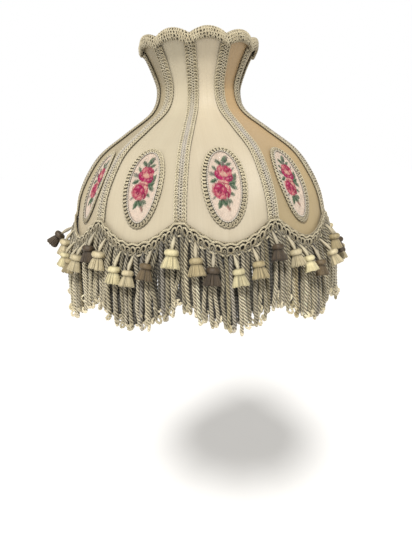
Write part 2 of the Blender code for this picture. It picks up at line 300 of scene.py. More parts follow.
def tubes(pile, paths, radius, sides, color, normals=None, closed=False, section=1.0, turn=0.0,
          axes=None, blunt=0.5):
    """Round or lobed tubes along paths, an array of (tube, step, xyz)."""
    paths = np.asarray(paths, float)
    many, steps = paths.shape[:2]
    ahead = path_ways(paths, closed, axes)
    side = unit(np.cross(ahead, carried_normals(ahead) if normals is None else normals))
    upward = np.cross(side, ahead)
    angle = 2 * np.pi * np.arange(sides) / sides + np.broadcast_to(turn, (many, steps))[..., None]
    reach = np.broadcast_to(radius, (many, steps))[..., None] * np.asarray(section)
    reach = np.broadcast_to(reach, angle.shape)
    ring = np.cos(angle)[..., None] * side[:, :, None]
    ring = ring + np.sin(angle)[..., None] * upward[:, :, None]
    points = paths[:, :, None] + reach[..., None] * ring
    color = np.broadcast_to(color, points.shape)
    path = np.concatenate([paths, paths[:, :1]], 1) if closed else paths
    hops = np.linalg.norm(np.diff(path, axis=1), axis=-1)
    along = np.concatenate([np.zeros((many, 1)), np.cumsum(hops, 1)], 1)

    i, j, quad = ring_quads(steps, sides, closed)
    span = steps * sides + (0 if closed else 2)
    base = (np.arange(many) * span)[:, None, None, None]
    u = np.stack([j, j, j + 1, j + 1], -1) / sides
    v = np.stack([along[:, i], along[:, i + 1], along[:, i + 1], along[:, i]], -1)
    threads = np.stack([np.broadcast_to(u, v.shape), v], -1)
    points = points.reshape(many, -1, 3)
    colors = color.reshape(many, -1, 3)
    fans = np.zeros((0, 3), int)
    fan_threads = np.zeros((0, 2))
    if not closed:
        size = reach.mean(-1)
        start = paths[:, 0] - ahead[:, 0] * size[:, :1] * blunt
        end = paths[:, -1] + ahead[:, -1] * size[:, -1:] * blunt
        points = np.concatenate([points, np.stack([start, end], 1)], 1)
        tips = np.stack([color[:, 0].mean(1), color[:, -1].mean(1)], 1)
        colors = np.concatenate([colors, tips], 1)
        fans = end_fans(steps, sides)[None] + base[:, 0]
        fan_threads = end_threads(along[:, -1], sides)
    pile.add(points, colors, quad[None] + base, fans, threads, fan_threads)


def end_fans(steps, sides):
    """The triangles that close both ends of an open tube."""
    j = np.arange(sides)
    after = (j + 1) % sides
    last = (steps - 1) * sides
    tip = steps * sides
    first_fan = np.stack([np.full(sides, tip), j, after], -1)
    last_fan = np.stack([np.full(sides, tip + 1), last + after, last + j], -1)
    return np.concatenate([first_fan, last_fan])


def end_threads(lengths, sides):
    """The thread places of the corners of those triangles."""
    j = np.arange(sides)
    threads = np.zeros((len(lengths), 2, sides, 3, 2))
    threads[..., 0] = np.stack([j + 0.5, j, j + 1], -1) / sides
    threads[:, 1, ..., 1] = lengths[:, None, None]
    return threads


def painted_shade_round(tone):
    """Colours round an eight-sided cord: its own tone on top, painted shade down its sides and
    underneath.
    """
    shares = np.array([0.72, 0.24, 0.0, 0.24, 0.72, 0.95, 1.0, 0.95])
    return mix(np.asarray(tone, float)[..., None, :], SHADE_DARK, shares)


def lay_cord(pile, laid, radius, tone, closed=False):
    """A cord along a path, or along each of many, laid as its points and the ways out."""
    points, normals = laid
    if points.ndim == 2:
        points = points[None]
        normals = normals[None]
        tone = tone[None]
    tubes(pile, points, radius, 8, painted_shade_round(tone), normals=normals, closed=closed)


def shell(pile, outer, inner, color, around=False, threads=None):
    """A closed sheet between two grids of points, which may run right round."""
    rows, columns = outer.shape[:2]
    if threads is None:
        threads = np.zeros((rows, columns, 2))
    color = np.broadcast_to(color, outer.shape)
    size = rows * columns
    i, j = np.meshgrid(np.arange(rows - 1), np.arange(columns - (0 if around else 1)), indexing="ij")
    after = (j + 1) % columns

    def quad(*corners):
        return np.stack([a * columns + b for a, b in corners], -1).reshape(-1, 4)

    face = quad((i, j), (i, after), (i + 1, after), (i + 1, j))
    back = face[:, ::-1] + size
    j0 = j[0]
    j1 = after[0]
    zero = np.zeros_like(j0)
    top = zero + rows - 1
    low = quad((zero, j0), (zero + rows, j0), (zero + rows, j1), (zero, j1))
    high = quad((top, j1), (top + rows, j1), (top + rows, j0), (top, j0))
    quads = [face, back, low, high]
    if not around:
        i0 = np.arange(rows - 1)
        zero = np.zeros_like(i0)
        end = zero + columns - 1
        quads.append(quad((i0 + 1, zero), (i0 + 1 + rows, zero), (i0 + rows, zero), (i0, zero)))
        quads.append(quad((i0, end), (i0 + rows, end), (i0 + 1 + rows, end), (i0 + 1, end)))
    quads = np.concatenate(quads)
    flat = np.concatenate([threads.reshape(-1, 2)] * 2)
    points = np.concatenate([outer.reshape(-1, 3), inner.reshape(-1, 3)])
    colors = np.concatenate([color.reshape(-1, 3)] * 2)
    pile.add(points, colors, quads, np.zeros((0, 3), int), flat[quads], np.zeros((0, 2)))


def piece(name, pile, material, body, slot_name, *nodes):
    """Makes the pile one object that rides a body and stands for CAD nodes."""
    obj = bpy.data.objects.new(name, pile.mesh(name))
    bpy.context.scene.collection.objects.link(obj)
    obj.data.materials.append(material)
    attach(obj, body)
    if nodes:
        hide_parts(*nodes)
    return obj


# ---- materials ----


class Finish:
    """A material's node tree, with short ways to add to it."""

    def __init__(self, name, roughness, **sockets):
        self.material = bpy.data.materials.new(name)
        self.material.use_nodes = True
        self.tree = self.material.node_tree
        self.shader = self.tree.nodes["Principled BSDF"]
        self.shader.inputs["Roughness"].default_value = roughness
        for socket, value in sockets.items():
            self.shader.inputs[socket.replace("_", " ")].default_value = value

    def put(self, socket, value):
        if isinstance(value, bpy.types.NodeSocket):
            self.tree.links.new(value, socket)
        elif value is not None:
            socket.default_value = value

    def node(self, kind, out=0, settings=(), **values):
        made = self.tree.nodes.new("ShaderNode" + kind)
        for key, value in dict(settings).items():
            setattr(made, key, value)
        for key, value in values.items():
            place = int(key[1:]) if key[0] == "i" and key[1:].isdigit() else key.replace("_", " ")
            self.put(made.inputs[place], value)
        return made.outputs[out]

    def math(self, operation, a, b=None, c=None):
        return self.node("Math", settings={"operation": operation}, i0=a, i1=b, i2=c)

    def blend(self, kind, share, a, b):
        made = self.tree.nodes.new("ShaderNodeMix")
        made.data_type = "RGBA"
        made.blend_type = kind
        self.put(made.inputs[0], share)
        self.put(made.inputs[6], a)
        self.put(made.inputs[7], b)
        return made.outputs[2]

    def ramp(self, value, *stops):
        made = self.tree.nodes.new("ShaderNodeValToRGB")
        self.put(made.inputs[0], value)
        stops = sorted(stops)
        elements = made.color_ramp.elements
        for i, (at, color) in enumerate(stops):
            element = elements[i] if i < 2 else elements.new(at)
            element.position = at
            if np.ndim(color) == 0:
                color = (color,) * 3
            element.color = (*color, 1)
        return made.outputs[0]

    def noise(self, vector, scale, detail=2.0, rough=0.5):
        return self.node("TexNoise", Vector=vector, Scale=scale, Detail=detail, Roughness=rough)

    def stretched(self, vector, scale):
        return self.node("Mapping", Vector=vector, Scale=scale)

    def thread(self):
        return self.node("UVMap", settings={"uv_map": "thread"})

    def place(self):
        return self.node("TexCoord", out=3)

    def tone(self):
        return self.node("Attribute", settings={"attribute_name": "tone"})

    def bump(self, height, strength, distance, normal=None):
        return self.node(
            "Bump", Height=height, Strength=strength, Distance=distance, Normal=normal
        )

    def color(self, value):
        self.put(self.shader.inputs["Base Color"], value)

    def relief(self, value):
        self.put(self.shader.inputs["Normal"], value)

    def rough(self, value):
        self.put(self.shader.inputs["Roughness"], value)


def plied_yarn(name, plies, lay, roughness, depth, sheen, groove_shade=0.45):
    """Twisted yarn: its tone from the mesh, painted shade between the plies, with fine fibres."""
    finish = Finish(name, roughness, Sheen_Weight=sheen, Sheen_Roughness=0.4)
    thread = finish.thread()
    split = finish.node("SeparateXYZ", Vector=thread)
    around = finish.math("MULTIPLY", split, float(plies))
    along = finish.math("DIVIDE", split.node.outputs[1], lay)
    phase = finish.math("FRACT", finish.math("ADD", around, along))
    hump = finish.math("SINE", finish.math("MULTIPLY", phase, math.pi))
    fibre = finish.noise(finish.stretched(thread, (14.0, 700.0, 1.0)), 1.0, 3.0)
    patch = finish.noise(finish.place(), 90.0, 3.0)
    # painted shade in the grooves between plies
    shade = finish.ramp(hump, (0.0, groove_shade), (0.55, 1.0))
    fibres = finish.ramp(fibre, (0.3, 0.82), (0.7, 1.12))
    patches = finish.ramp(patch, (0.3, (0.90, 0.88, 0.84)), (0.7, (1.06, 1.06, 1.06)))
    color = finish.blend("MULTIPLY", 1.0, finish.tone(), shade)
    color = finish.blend("MULTIPLY", 1.0, color, fibres)
    color = finish.blend("MULTIPLY", 1.0, color, patches)
    finish.color(color)
    lift = finish.math("ADD", hump, finish.math("MULTIPLY", fibre, 0.25))
    finish.relief(finish.bump(lift, 0.9, depth))
    return finish.material


def satin(name, light, dusk, roughness):
    """Stretched satin: fine crosswise threads, soft streaks along the warp, a little wear."""
    finish = Finish(name, roughness, Sheen_Weight=0.25, Sheen_Roughness=0.35)
    thread = finish.thread()
    streak = finish.noise(finish.stretched(thread, (520.0, 7.0, 1.0)), 1.0, 4.0)
    broad = finish.noise(finish.stretched(thread, (60.0, 9.0, 1.0)), 1.0, 3.0)
    weave = finish.node(
        "TexWave",
        out=1,
        settings={"bands_direction": "Y"},
        Vector=finish.stretched(thread, (900.0, 900.0, 1.0)),
        Scale=1.0,
        Distortion=1.5,
        Detail=2.0,
    )
    base = finish.ramp(broad, (0.25, dusk), (0.75, light))
    lines = finish.ramp(streak, (0.3, 0.96), (0.7, 1.02))
    color = finish.blend("MULTIPLY", 1.0, base, lines)
    color = finish.blend("MULTIPLY", 1.0, color, finish.tone())
    finish.color(color)
    finish.rough(finish.math("MULTIPLY_ADD", streak, 0.16, roughness - 0.08))
    fine = finish.bump(weave, 0.12, 0.0002)
    finish.relief(finish.bump(streak, 0.25, 0.0004, fine))
    return finish.material


def wool(name):
    """Petit-point stitches: each its own tone, with a woolly surface."""
    finish = Finish(name, 0.85, Sheen_Weight=0.08, Sheen_Roughness=0.6)
    fuzz = finish.noise(finish.place(), 2600.0, 2.0)
    patch = finish.noise(finish.place(), 120.0, 2.0)
    color = finish.blend("MULTIPLY", 1.0, finish.tone(), finish.ramp(fuzz, (0.3, 0.84), (0.7, 1.1)))
    color = finish.blend("MULTIPLY", 1.0, color, finish.ramp(patch, (0.3, 0.93), (0.7, 1.04)))
    finish.color(color)
    finish.relief(finish.bump(fuzz, 0.35, 0.0003))
    return finish.material


def metal(name, bright, dull, roughness, metallic=1.0):
    """Plated or painted wire and sheet, with soft tarnish and fine scratches."""
    finish = Finish(name, roughness, Metallic=metallic)
    cloud = finish.noise(finish.place(), 70.0, 4.0)
    scratch = finish.noise(finish.stretched(finish.place(), (900.0, 900.0, 120.0)), 1.0, 3.0)
    finish.color(finish.ramp(cloud, (0.35, dull), (0.65, bright)))
    finish.rough(finish.math("MULTIPLY_ADD", cloud, 0.22, roughness - 0.08))
    finish.relief(finish.bump(scratch, 0.15, 0.0002))
    return finish.material


# ---- the satin panels and their lining ----


# painted shade on some panels, standing in for how the light falls on them: at the rim and at the
# crown
PANEL_SHADE_TINTS = {
    5: ((0.84, 0.80, 0.71), (0.70, 0.66, 0.56)),
    6: ((0.85, 0.84, 0.82), (0.90, 0.90, 0.88)),
    8: ((0.70, 0.62, 0.47), (0.86, 0.68, 0.48)),
    9: ((0.80, 0.74, 0.66), (0.84, 0.74, 0.60)),
}


PUCKER = 0.00035
TUG = 0.00030
MOST_PUSH = 0.0006


def puckered(u, v, rng):
    """How far a panel's cloth stands in or out, from its folds and its stitched edges."""
    waves = np.zeros_like(v)
    for _ in range(7):
        place = rng.uniform(-1, 1)
        width = rng.uniform(0.04, 0.09)
        lean = rng.uniform(-0.15, 0.15)
        waves += rng.uniform(-1, 1) * np.exp(-(((u - place - lean * v) / width) ** 2))
    near_edge = np.exp(-v / 0.10) + np.exp(-(1 - v) / 0.12)
    puckers = PUCKER * waves * (0.25 + near_edge)
    tug = TUG * np.cos(v * 95 + rng.uniform(0, 6)) * np.exp(-(1 - np.abs(u)) / 0.10)
    return np.clip(puckers + tug, -MOST_PUSH, MOST_PUSH)


def painted_panel_shade(number, v):
    """A panel's tint up its height, painted shade and light, with a painted shadow just under the
    crown.
    """
    low, high = PANEL_SHADE_TINTS.get(number, ((0.82, 0.81, 0.80), (1.00, 0.98, 0.96)))
    tint = mix(np.array(low), np.array(high), np.clip((v - 0.16) / 0.44, 0, 1))
    # painted shadow under the crown braid, deeper on the side panels
    painted_shade_under_crown = 0.28 if number in (5, 8, 9) else 0.12
    return tint * (1 - painted_shade_under_crown * np.clip((v - 0.74) / 0.24, 0, 1))[..., None]


def make_panel(number, material):
    v, u = np.meshgrid(np.linspace(0, 1, 81), np.linspace(-1, 1, 61), indexing="ij")
    half = skin_radius(1.0, v) * PANEL_TURN / 2
    turn = (number + 0.5 + u / 2 * (1 - 2 * TOUCH / half)) * PANEL_TURN
    push = puckered(u, v, np.random.default_rng(100 + number))
    outer, _ = skin(turn, v, push)
    inner, _ = skin(turn, v, push - FABRIC)
    threads = np.stack([u * half, v * CLOTH_LENGTH], -1)
    pile = Pile()
    shell(pile, outer, inner, painted_panel_shade(number, v), threads=threads)
    name = f"satin_panel_{number:02d}"
    made = piece(name, pile, material, "shade", "shade_fabric", f"panel_{number:02d}")
    return made


def make_lining(material):
    v, turn = np.meshgrid(np.linspace(0, LINING_SHARE, 60), full_turn(600), indexing="ij")
    rng = np.random.default_rng(5)
    pleats = np.zeros_like(turn)
    for count, size in ((150, 0.5), (90, 0.3), (230, 0.2)):
        drift = rng.uniform(0, 6)
        pleats += size * np.sin(count * turn + drift + 3 * np.sin(5 * turn) * v)
    gather = 0.3 + 0.7 * np.exp(-((v - 0.62) / 0.22) ** 2) + 0.6 * np.exp(-v / 0.08)
    push = -LINING_DEPTH + FABRIC_DEPTH - 0.0007 * gather * (1 + pleats) / 2
    outer, _ = skin(turn, v, push)
    inner, _ = skin(turn, v, push - FABRIC)
    threads = np.stack([turn * 0.2, v * CLOTH_LENGTH], -1)
    pile = Pile()
    shell(pile, outer, inner, np.ones(3), around=True, threads=threads)
    made = piece("lining_cloth", pile, material, "shade", "lining_fabric", "lining")
    return made


# ---- the frame and the fitter ----


def bound_ring(name, v, node, material):
    """A ring of the frame, bound in cotton tape."""
    turns = full_turn(800)
    middle, _ = skin(turns, v + 0 * turns, -RIB_DEPTH + FABRIC_DEPTH)
    ridge = 0.00165 + 0.00012 * np.sin(turns * 260)
    pile = Pile()
    tubes(pile, middle[None], ridge, 10, IVORY, normals=way_out(turns)[None], closed=True)
    return piece(name, pile, material, "shade", "frame_wire", node)


def turned_profile(name, outline, material, body, slot_name, node, steps=96):
    """A solid of revolution about Z, its outline given anticlockwise as (radius, height)."""
    radii, heights = np.array(outline).T
    points = way_out(full_turn(steps))[:, None] * radii[:, None]
    points[..., 2] = heights
    _, _, quads = ring_quads(steps, len(radii), True)
    threads = np.zeros((quads.size // 4, 4, 2))
    pile = Pile()
    pile.add(points, np.ones(3), quads, np.zeros((0, 3), int), threads, np.zeros((0, 2)))
    made = piece(name, pile, material, body, slot_name, node)
    made.data.set_sharp_from_angle(angle=math.radians(35))
    return made


def rounded(corners, size, steps=3):
    """An outline with each corner cut by a small arc."""
    corners = np.array(corners, float)
    made = []
    for before, at, after in zip(np.roll(corners, 1, 0), corners, np.roll(corners, -1, 0)):
        a = at + unit(before - at) * size
        b = at + unit(after - at) * size
        for t in np.linspace(0, 1, steps):
            made.append((1 - t) ** 2 * a + 2 * t * (1 - t) * at + t**2 * b)
    return made


def make_fitter(brass, steel):
    corners = (
        (WASHER_BORE, 0),
        (WASHER_RADIUS, 0),
        (WASHER_RADIUS, WASHER),
        (WASHER_BORE, WASHER),
    )
    washer = rounded(corners, 0.0004)
    turned_profile("washer_disc", washer, brass, "fitter", "fitter_brass", "fitter_washer")
    pile = Pile()
    for side in (-1, 1):
        reach = np.linspace(WASHER_RADIUS - 0.002, PIN_REACH, 6) * side
        pin = np.stack([reach, 0 * reach, 0 * reach + WASHER / 2], -1)
        tubes(pile, pin[None], PIN, 16, np.ones(3), blunt=0.3)
    piece("fitter_pins", pile, brass, "fitter", "fitter_brass")
    low = WASHER + TOUCH
    high = low + REDUCER_SHEET
    lip = REDUCER_LIP - REDUCER_SHEET
    reducer = rounded(
        (
            (REDUCER_BORE, 0),
            (REDUCER_LIP, 0),
            (REDUCER_LIP, low),
            (REDUCER_FLANGE, low),
            (REDUCER_FLANGE, high),
            (lip, high),
            (lip, REDUCER_SHEET),
            (REDUCER_BORE, REDUCER_SHEET),
        ),
        0.0003,
    )
    turned_profile("reducer_disc", reducer, brass, "reducer", "fitter_brass", "reducer_insert")
    make_yoke(steel)


def smooth_path(knots, steps):
    """A smooth path through knots, evenly stepped."""
    knots = np.array(knots, float)
    lengths = lengths_along(knots)
    read = np.linspace(0, lengths[-1], steps)
    columns = [spline(np.stack([lengths, knots[:, c]], -1), read) for c in range(3)]
    return np.stack(columns, -1)


def make_yoke(material):
    pivot = WASHER / 2
    ring_at, _ = skin(np.array([0.0]), np.array([1.0]), -RIB_DEPTH + FABRIC_DEPTH)
    ring = float(ring_at[0, 0])
    crown = float(ring_at[0, 2])
    outward = way_out(full_turn(160))
    circle = YOKE_RING * outward + np.array((0, 0, pivot))
    pile = Pile()
    tubes(pile, circle[None], YOKE_WIRE, 12, np.ones(3), normals=outward[None], closed=True)
    for side in (-1, 1):
        knots = (
            (side * (EYE_FAR - 0.001), 0, pivot + 0.0028),
            (side * (EYE_FAR + 0.006), 0, pivot + 0.012),
            (side * 0.062, 0, crown * 0.55),
            (side * (ring - 0.013), 0, crown - 0.006),
            (side * (ring - 0.007), 0, crown - 0.0008),
            (side * (ring - 0.0021), 0, crown + 0.0004),
        )
        tubes(pile, smooth_path(knots, 40)[None], YOKE_WIRE, 12, np.ones(3))
        reach = np.linspace(EYE_NEAR, EYE_FAR, 9) * side
        eye = np.stack([reach, 0 * reach, 0 * reach + pivot], -1)
        swell = EYE * (1 - 0.18 * np.abs(np.linspace(-1, 1, 9)) ** 4)
        tubes(pile, eye[None], swell, 20, np.ones(3), blunt=0.02)
    return piece("yoke_wires", pile, material, "shade", "frame_wire", "fitter_yoke")


def finish_ribs(material):
    for name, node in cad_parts.items():
        if name.startswith("rib_") and not name.startswith("rib_braid"):
            for slot_place in node.material_slots:
                slot_place.material = material


# ---- braids that lie on the panels ----


def looped(length, count, across, along, start=0.0, steps=18):
    """A chain of round loops: (run, swing, rise) at each step, run from 0 to the length."""
    t = np.linspace(0, count, count * steps + 1)
    run = length * t / count + along * np.sin(2 * np.pi * t + start)
    swing = across * np.cos(2 * np.pi * t + start)
    rise = 0.5 - 0.5 * np.cos(2 * np.pi * (t + 0.25) + start)
    return run, swing, rise


def rib_table(number):
    """Lengths up a rib and the heights they reach."""
    heights = np.linspace(-0.004, CROWN_WIRE_HEIGHT - 0.006, 400)
    turn = number * PANEL_TURN + 0 * heights
    at, _ = skin(turn, share_up(turn, heights))
    return lengths_along(at), heights


def on_rib(number, table, run, side, out):
    """Points beside a rib: this far up along it, to the side, and out from the panels."""
    heights = np.interp(run, *table)
    radius = spline(RIB_LINE, heights)
    turn = number * PANEL_TURN + side / radius
    return skin(turn, share_up(turn, heights), out)


RIB_BACKING_HALF = 0.0078
RIB_LOOP_PITCH = 0.0055
RIB_LOOP_SIDE = 0.0062
RIB_LOOP_CORD = 0.00126
RIB_CENTRE_PITCH = 0.0042
RIB_CENTRE_SIDE = 0.0017
RIB_CENTRE_CORD = 0.00096


def make_rib_braid(number, material):
    """Two rows of loops at the sides, two finer rows between them, and their backing, dark as
    painted shade in the gaps.
    """
    rng = np.random.default_rng(200 + number)
    table = rib_table(number)
    length = float(table[0][-1])
    pile = Pile()
    across = np.linspace(-RIB_BACKING_HALF, RIB_BACKING_HALF, 9)
    grid_run, grid_side = np.meshgrid(np.linspace(0.0, length, 120), across, indexing="ij")
    top, _ = on_rib(number, table, grid_run, grid_side, 0.0012)
    bottom, _ = on_rib(number, table, grid_run, grid_side, 0.0008)
    shell(pile, top, bottom, SHADE_BACKING)
    count = round(length / RIB_LOOP_PITCH)
    for side in (-1, 1):
        run, swing, rise = looped(length, count, 0.0025, 0.0026)
        run = np.clip(run + rng.normal(0, 0.0001, len(run)), 0.0, length)
        laid = on_rib(number, table, run, side * (RIB_LOOP_SIDE + swing), 0.0018 + 0.0016 * rise)
        t = run / length
        wear = 0.5 + 0.5 * np.sin(13 * t + number)
        tone = mix(BRAID * 1.14, IVORY * 1.1, 0.25 * wear)
        tone = mix(tone, OLIVE * 1.3, 0.42 * np.clip((t - 0.66) / 0.34, 0, 1))
        tone = tone * rng.uniform(0.86, 1.08, (len(run), 1))
        lay_cord(pile, laid, RIB_LOOP_CORD, tone)
    count = round(length / RIB_CENTRE_PITCH)
    for side in (-1, 1):
        run, swing, rise = looped(length, count, 0.0013, 0.0015, start=1.5 * side)
        run = np.clip(run, 0.0, length)
        offset = side * RIB_CENTRE_SIDE + swing
        laid = on_rib(number, table, run, offset, 0.0022 + 0.0014 * rise)
        t = run / length
        tone = mix(LILAC, BRAID, 0.6 * np.clip((0.35 - t) / 0.35, 0, 1))
        tone = mix(tone, BRAID, 0.8 * np.clip((t - 0.55) / 0.25, 0, 1)) * 0.96
        lay_cord(pile, laid, RIB_CENTRE_CORD, tone)
    name = f"rib_gimp_{number:02d}"
    return piece(name, pile, material, "shade", "gimp_braid", f"rib_braid_{number:02d}")


def medallion_table():
    """Lengths up the middle of a panel from the medallion's middle, and their heights."""
    heights = np.linspace(-0.03, 0.13, 200)
    lengths = lengths_along(np.stack([heights, spline(RIB_LINE, heights)], -1))
    return lengths - np.interp(MEDALLION_HEIGHT, heights, lengths), heights


MEDALLION_TABLE = medallion_table()


def on_panel(number, across, up, out):
    """Points on a panel, from the lengths across and up from the medallion's middle."""
    heights = np.interp(up, *MEDALLION_TABLE)
    middle = share_up((number + 0.5) * PANEL_TURN, heights)
    radius = skin_radius(0.0, middle)
    turn = (number + 0.5) * PANEL_TURN + across / radius
    return skin(turn, share_up(turn, heights), out)


def oval(out, count):
    """Evenly spaced points round the medallion's oval and the way out of it."""
    turn = np.linspace(0, 2 * np.pi, 721)
    x = (MEDALLION_HALF[0] + out) * np.cos(turn)
    y = (MEDALLION_HALF[1] + out) * np.sin(turn)
    lengths = lengths_along(np.stack([x, y], -1))
    return np.interp(np.linspace(0, lengths[-1], count + 1)[:-1], lengths, turn)


MEDALLION_LOOPS = 52
MEDALLION_LOOPS_OUT = 0.0064
MEDALLION_LOOP_CORD = 0.00122
MEDALLION_BEADS = 76
MEDALLION_BEADS_OUT = 0.0013


def medallion_loops(number, rng):
    """The round loops that run round a medallion, and their tones."""
    steps = 18
    t = oval(MEDALLION_LOOPS_OUT, MEDALLION_LOOPS * steps)
    phase = 2 * np.pi * np.arange(len(t)) / steps
    run = 0.0024 * np.sin(phase)
    swing = 0.0027 * np.cos(phase)
    a = MEDALLION_HALF[0] + MEDALLION_LOOPS_OUT
    b = MEDALLION_HALF[1] + MEDALLION_LOOPS_OUT
    tangent = unit(np.stack([-a * np.sin(t), b * np.cos(t)], -1))
    normal = np.stack([tangent[:, 1], -tangent[:, 0]], -1)
    flat = np.stack([a * np.cos(t), b * np.sin(t)], -1)
    flat = flat + tangent * run[:, None] + normal * swing[:, None]
    rise = 0.5 - 0.5 * np.cos(phase + np.pi / 2)
    low = np.clip(-flat[:, 1] / 0.06, 0, 1)
    tone = mix(BRAID * 1.14 + 0 * low[:, None], GIMP * 0.84, low)
    tone = tone * rng.uniform(0.86, 1.08, (len(t), 1))
    return on_panel(number, flat[:, 0], flat[:, 1], 0.0018 + 0.0014 * rise), tone


def make_medallion_braid(number, material):
    pile = Pile()
    laid, tone = medallion_loops(number, np.random.default_rng(300 + number))
    lay_cord(pile, laid, MEDALLION_LOOP_CORD, tone, closed=True)

    steps = 8
    t = oval(MEDALLION_BEADS_OUT, MEDALLION_BEADS * steps)
    a = MEDALLION_HALF[0] + MEDALLION_BEADS_OUT
    b = MEDALLION_HALF[1] + MEDALLION_BEADS_OUT
    laid = on_panel(number, a * np.cos(t), b * np.sin(t), 0.0028)
    bead = 0.00095 + 0.00045 * np.cos(2 * np.pi * np.arange(len(t)) / steps)
    lay_cord(pile, laid, bead, LILAC, closed=True)

    # the backing is a darkened copy of the gimp colour: painted shade between the loops
    out, t = np.meshgrid(np.linspace(0.0074, 0.0006, 4), full_turn(120), indexing="ij")
    x = (MEDALLION_HALF[0] + out) * np.cos(t)
    y = (MEDALLION_HALF[1] + out) * np.sin(t)
    top, _ = on_panel(number, x, y, 0.0013)
    bottom, _ = on_panel(number, x, y, 0.0010)
    shell(pile, top, bottom, GIMP * 0.55, around=True)
    name = f"medallion_gimp_{number:02d}"
    node = f"medallion_braid_{number:02d}"
    return piece(name, pile, material, "shade", "gimp_braid", node)


# ---- the petit-point medallions ----

GROUND = np.array((0.83, 0.70, 0.585))
SALMON = np.array((0.70, 0.25, 0.25))
BEIGE = np.array((0.79, 0.52, 0.39))
CORAL = np.array((0.58, 0.045, 0.135))
MAGENTA = np.array((0.56, 0.002, 0.135))
PURPLE = np.array((0.30, 0.002, 0.075))
CRIMSON = np.array((0.38, 0.010, 0.060))
LEAF = np.array((0.040, 0.105, 0.048))
SAGE = np.array((0.13, 0.17, 0.11))
LIT_LEAF = np.array((0.34, 0.42, 0.28))
GREY_LEAF = np.array((0.24, 0.20, 0.18))
SPRIG = np.array((0.44, 0.22, 0.18))

# leaves: across, up, half length, half width, lean and tone, in millimetres and radians
LEAVES = (
    (4.8, 40.5, 7.5, 3.6, 1.05, LEAF),
    (7.4, 42.5, 4.5, 1.6, 1.15, GREY_LEAF),
    (-5.6, 36.0, 6.0, 2.5, 2.15, LEAF),
    (8.7, 31.8, 5.5, 2.2, 0.30, SAGE),
    (1.0, 33.5, 5.0, 2.6, 1.6, GREY_LEAF),
    (-12.5, 26.0, 5.0, 1.9, 2.20, SAGE),
    (-16.0, 16.2, 6.4, 2.5, 2.60, GREY_LEAF),
    (-14.8, 5.2, 6.0, 2.3, 0.40, LEAF),
    (15.9, 24.5, 2.8, 0.9, 0.90, GREY_LEAF),
    (16.0, 10.2, 6.4, 2.7, 1.25, SAGE),
    (12.0, 0.6, 6.5, 2.8, 0.35, LEAF),
    (13.4, -5.0, 6.5, 2.6, -0.75, SAGE),
    (10.0, -15.6, 5.0, 1.8, -0.70, SAGE),
    (-16.5, -20.8, 4.0, 1.2, 0.45, GREY_LEAF),
    (-8.3, -30.5, 6.8, 2.6, 1.25, LEAF),
    (-2.5, -28.5, 6.0, 2.8, 2.05, LEAF),
    (3.5, -26.0, 6.5, 2.8, -0.35, SAGE),
    (1.2, -31.0, 5.5, 2.0, -0.90, LEAF),
    (3.8, -36.8, 5.0, 1.5, -1.10, SPRIG),
)

# petals: across, up, half length, half width, lean, tone, and the tone they shade to
PETALS = (
    (2.2, 19.5, 11.2, 10.6, 0.0, SALMON, CORAL),
    (-3.5, 25.5, 6.0, 4.4, 0.7, SALMON, CORAL),
    (-7.4, 13.0, 8.6, 4.3, -0.95, MAGENTA, PURPLE),
    (-9.6, 17.6, 4.6, 2.8, -1.3, MAGENTA, CRIMSON),
    (0.6, 6.6, 5.8, 4.6, -0.5, MAGENTA, CRIMSON),
    (7.2, 7.0, 7.2, 4.9, 0.35, MAGENTA, PURPLE),
    (11.4, 9.4, 4.0, 3.4, 1.1, PURPLE, PURPLE),
    (2.0, 15.2, 8.6, 4.2, -0.15, BEIGE, SALMON),
    (9.2, 17.0, 4.4, 5.6, 0.3, SALMON, CORAL),
    (5.9, 22.6, 5.0, 4.4, 0.0, CORAL, CRIMSON),
    (6.6, 22.0, 2.6, 2.2, 0.0, CRIMSON, PURPLE),
    (-0.5, 2.2, 8.5, 3.6, -0.15, BEIGE, SALMON),
    (-5.0, -10.2, 14.2, 13.6, 0.0, BEIGE, SALMON),
    (-13.6, -5.0, 4.2, 5.4, 0.3, BEIGE, SALMON),
    (3.2, -5.2, 5.2, 5.6, 0.5, BEIGE, CORAL),
    (-8.2, -4.8, 8.0, 5.4, 0.15, MAGENTA, CRIMSON),
    (-12.6, -10.6, 3.6, 4.6, 0.5, CORAL, CRIMSON),
    (-1.2, -9.2, 4.8, 6.4, 0.35, CORAL, PURPLE),
    (-7.2, -15.4, 7.8, 5.4, -0.10, SALMON, CORAL),
    (-8.2, -13.2, 3.4, 2.6, -0.4, CRIMSON, PURPLE),
    (-3.2, -19.8, 7.0, 3.6, 0.25, SALMON, CORAL),
    (3.4, -17.0, 4.2, 4.8, 0.5, CRIMSON, PURPLE),
)


def leaned(x, y, cx, cy, long, wide, lean):
    c, s = math.cos(lean), math.sin(lean)
    a = ((x - cx) * c + (y - cy) * s) / long
    b = (-(x - cx) * s + (y - cy) * c) / wide
    return a, b


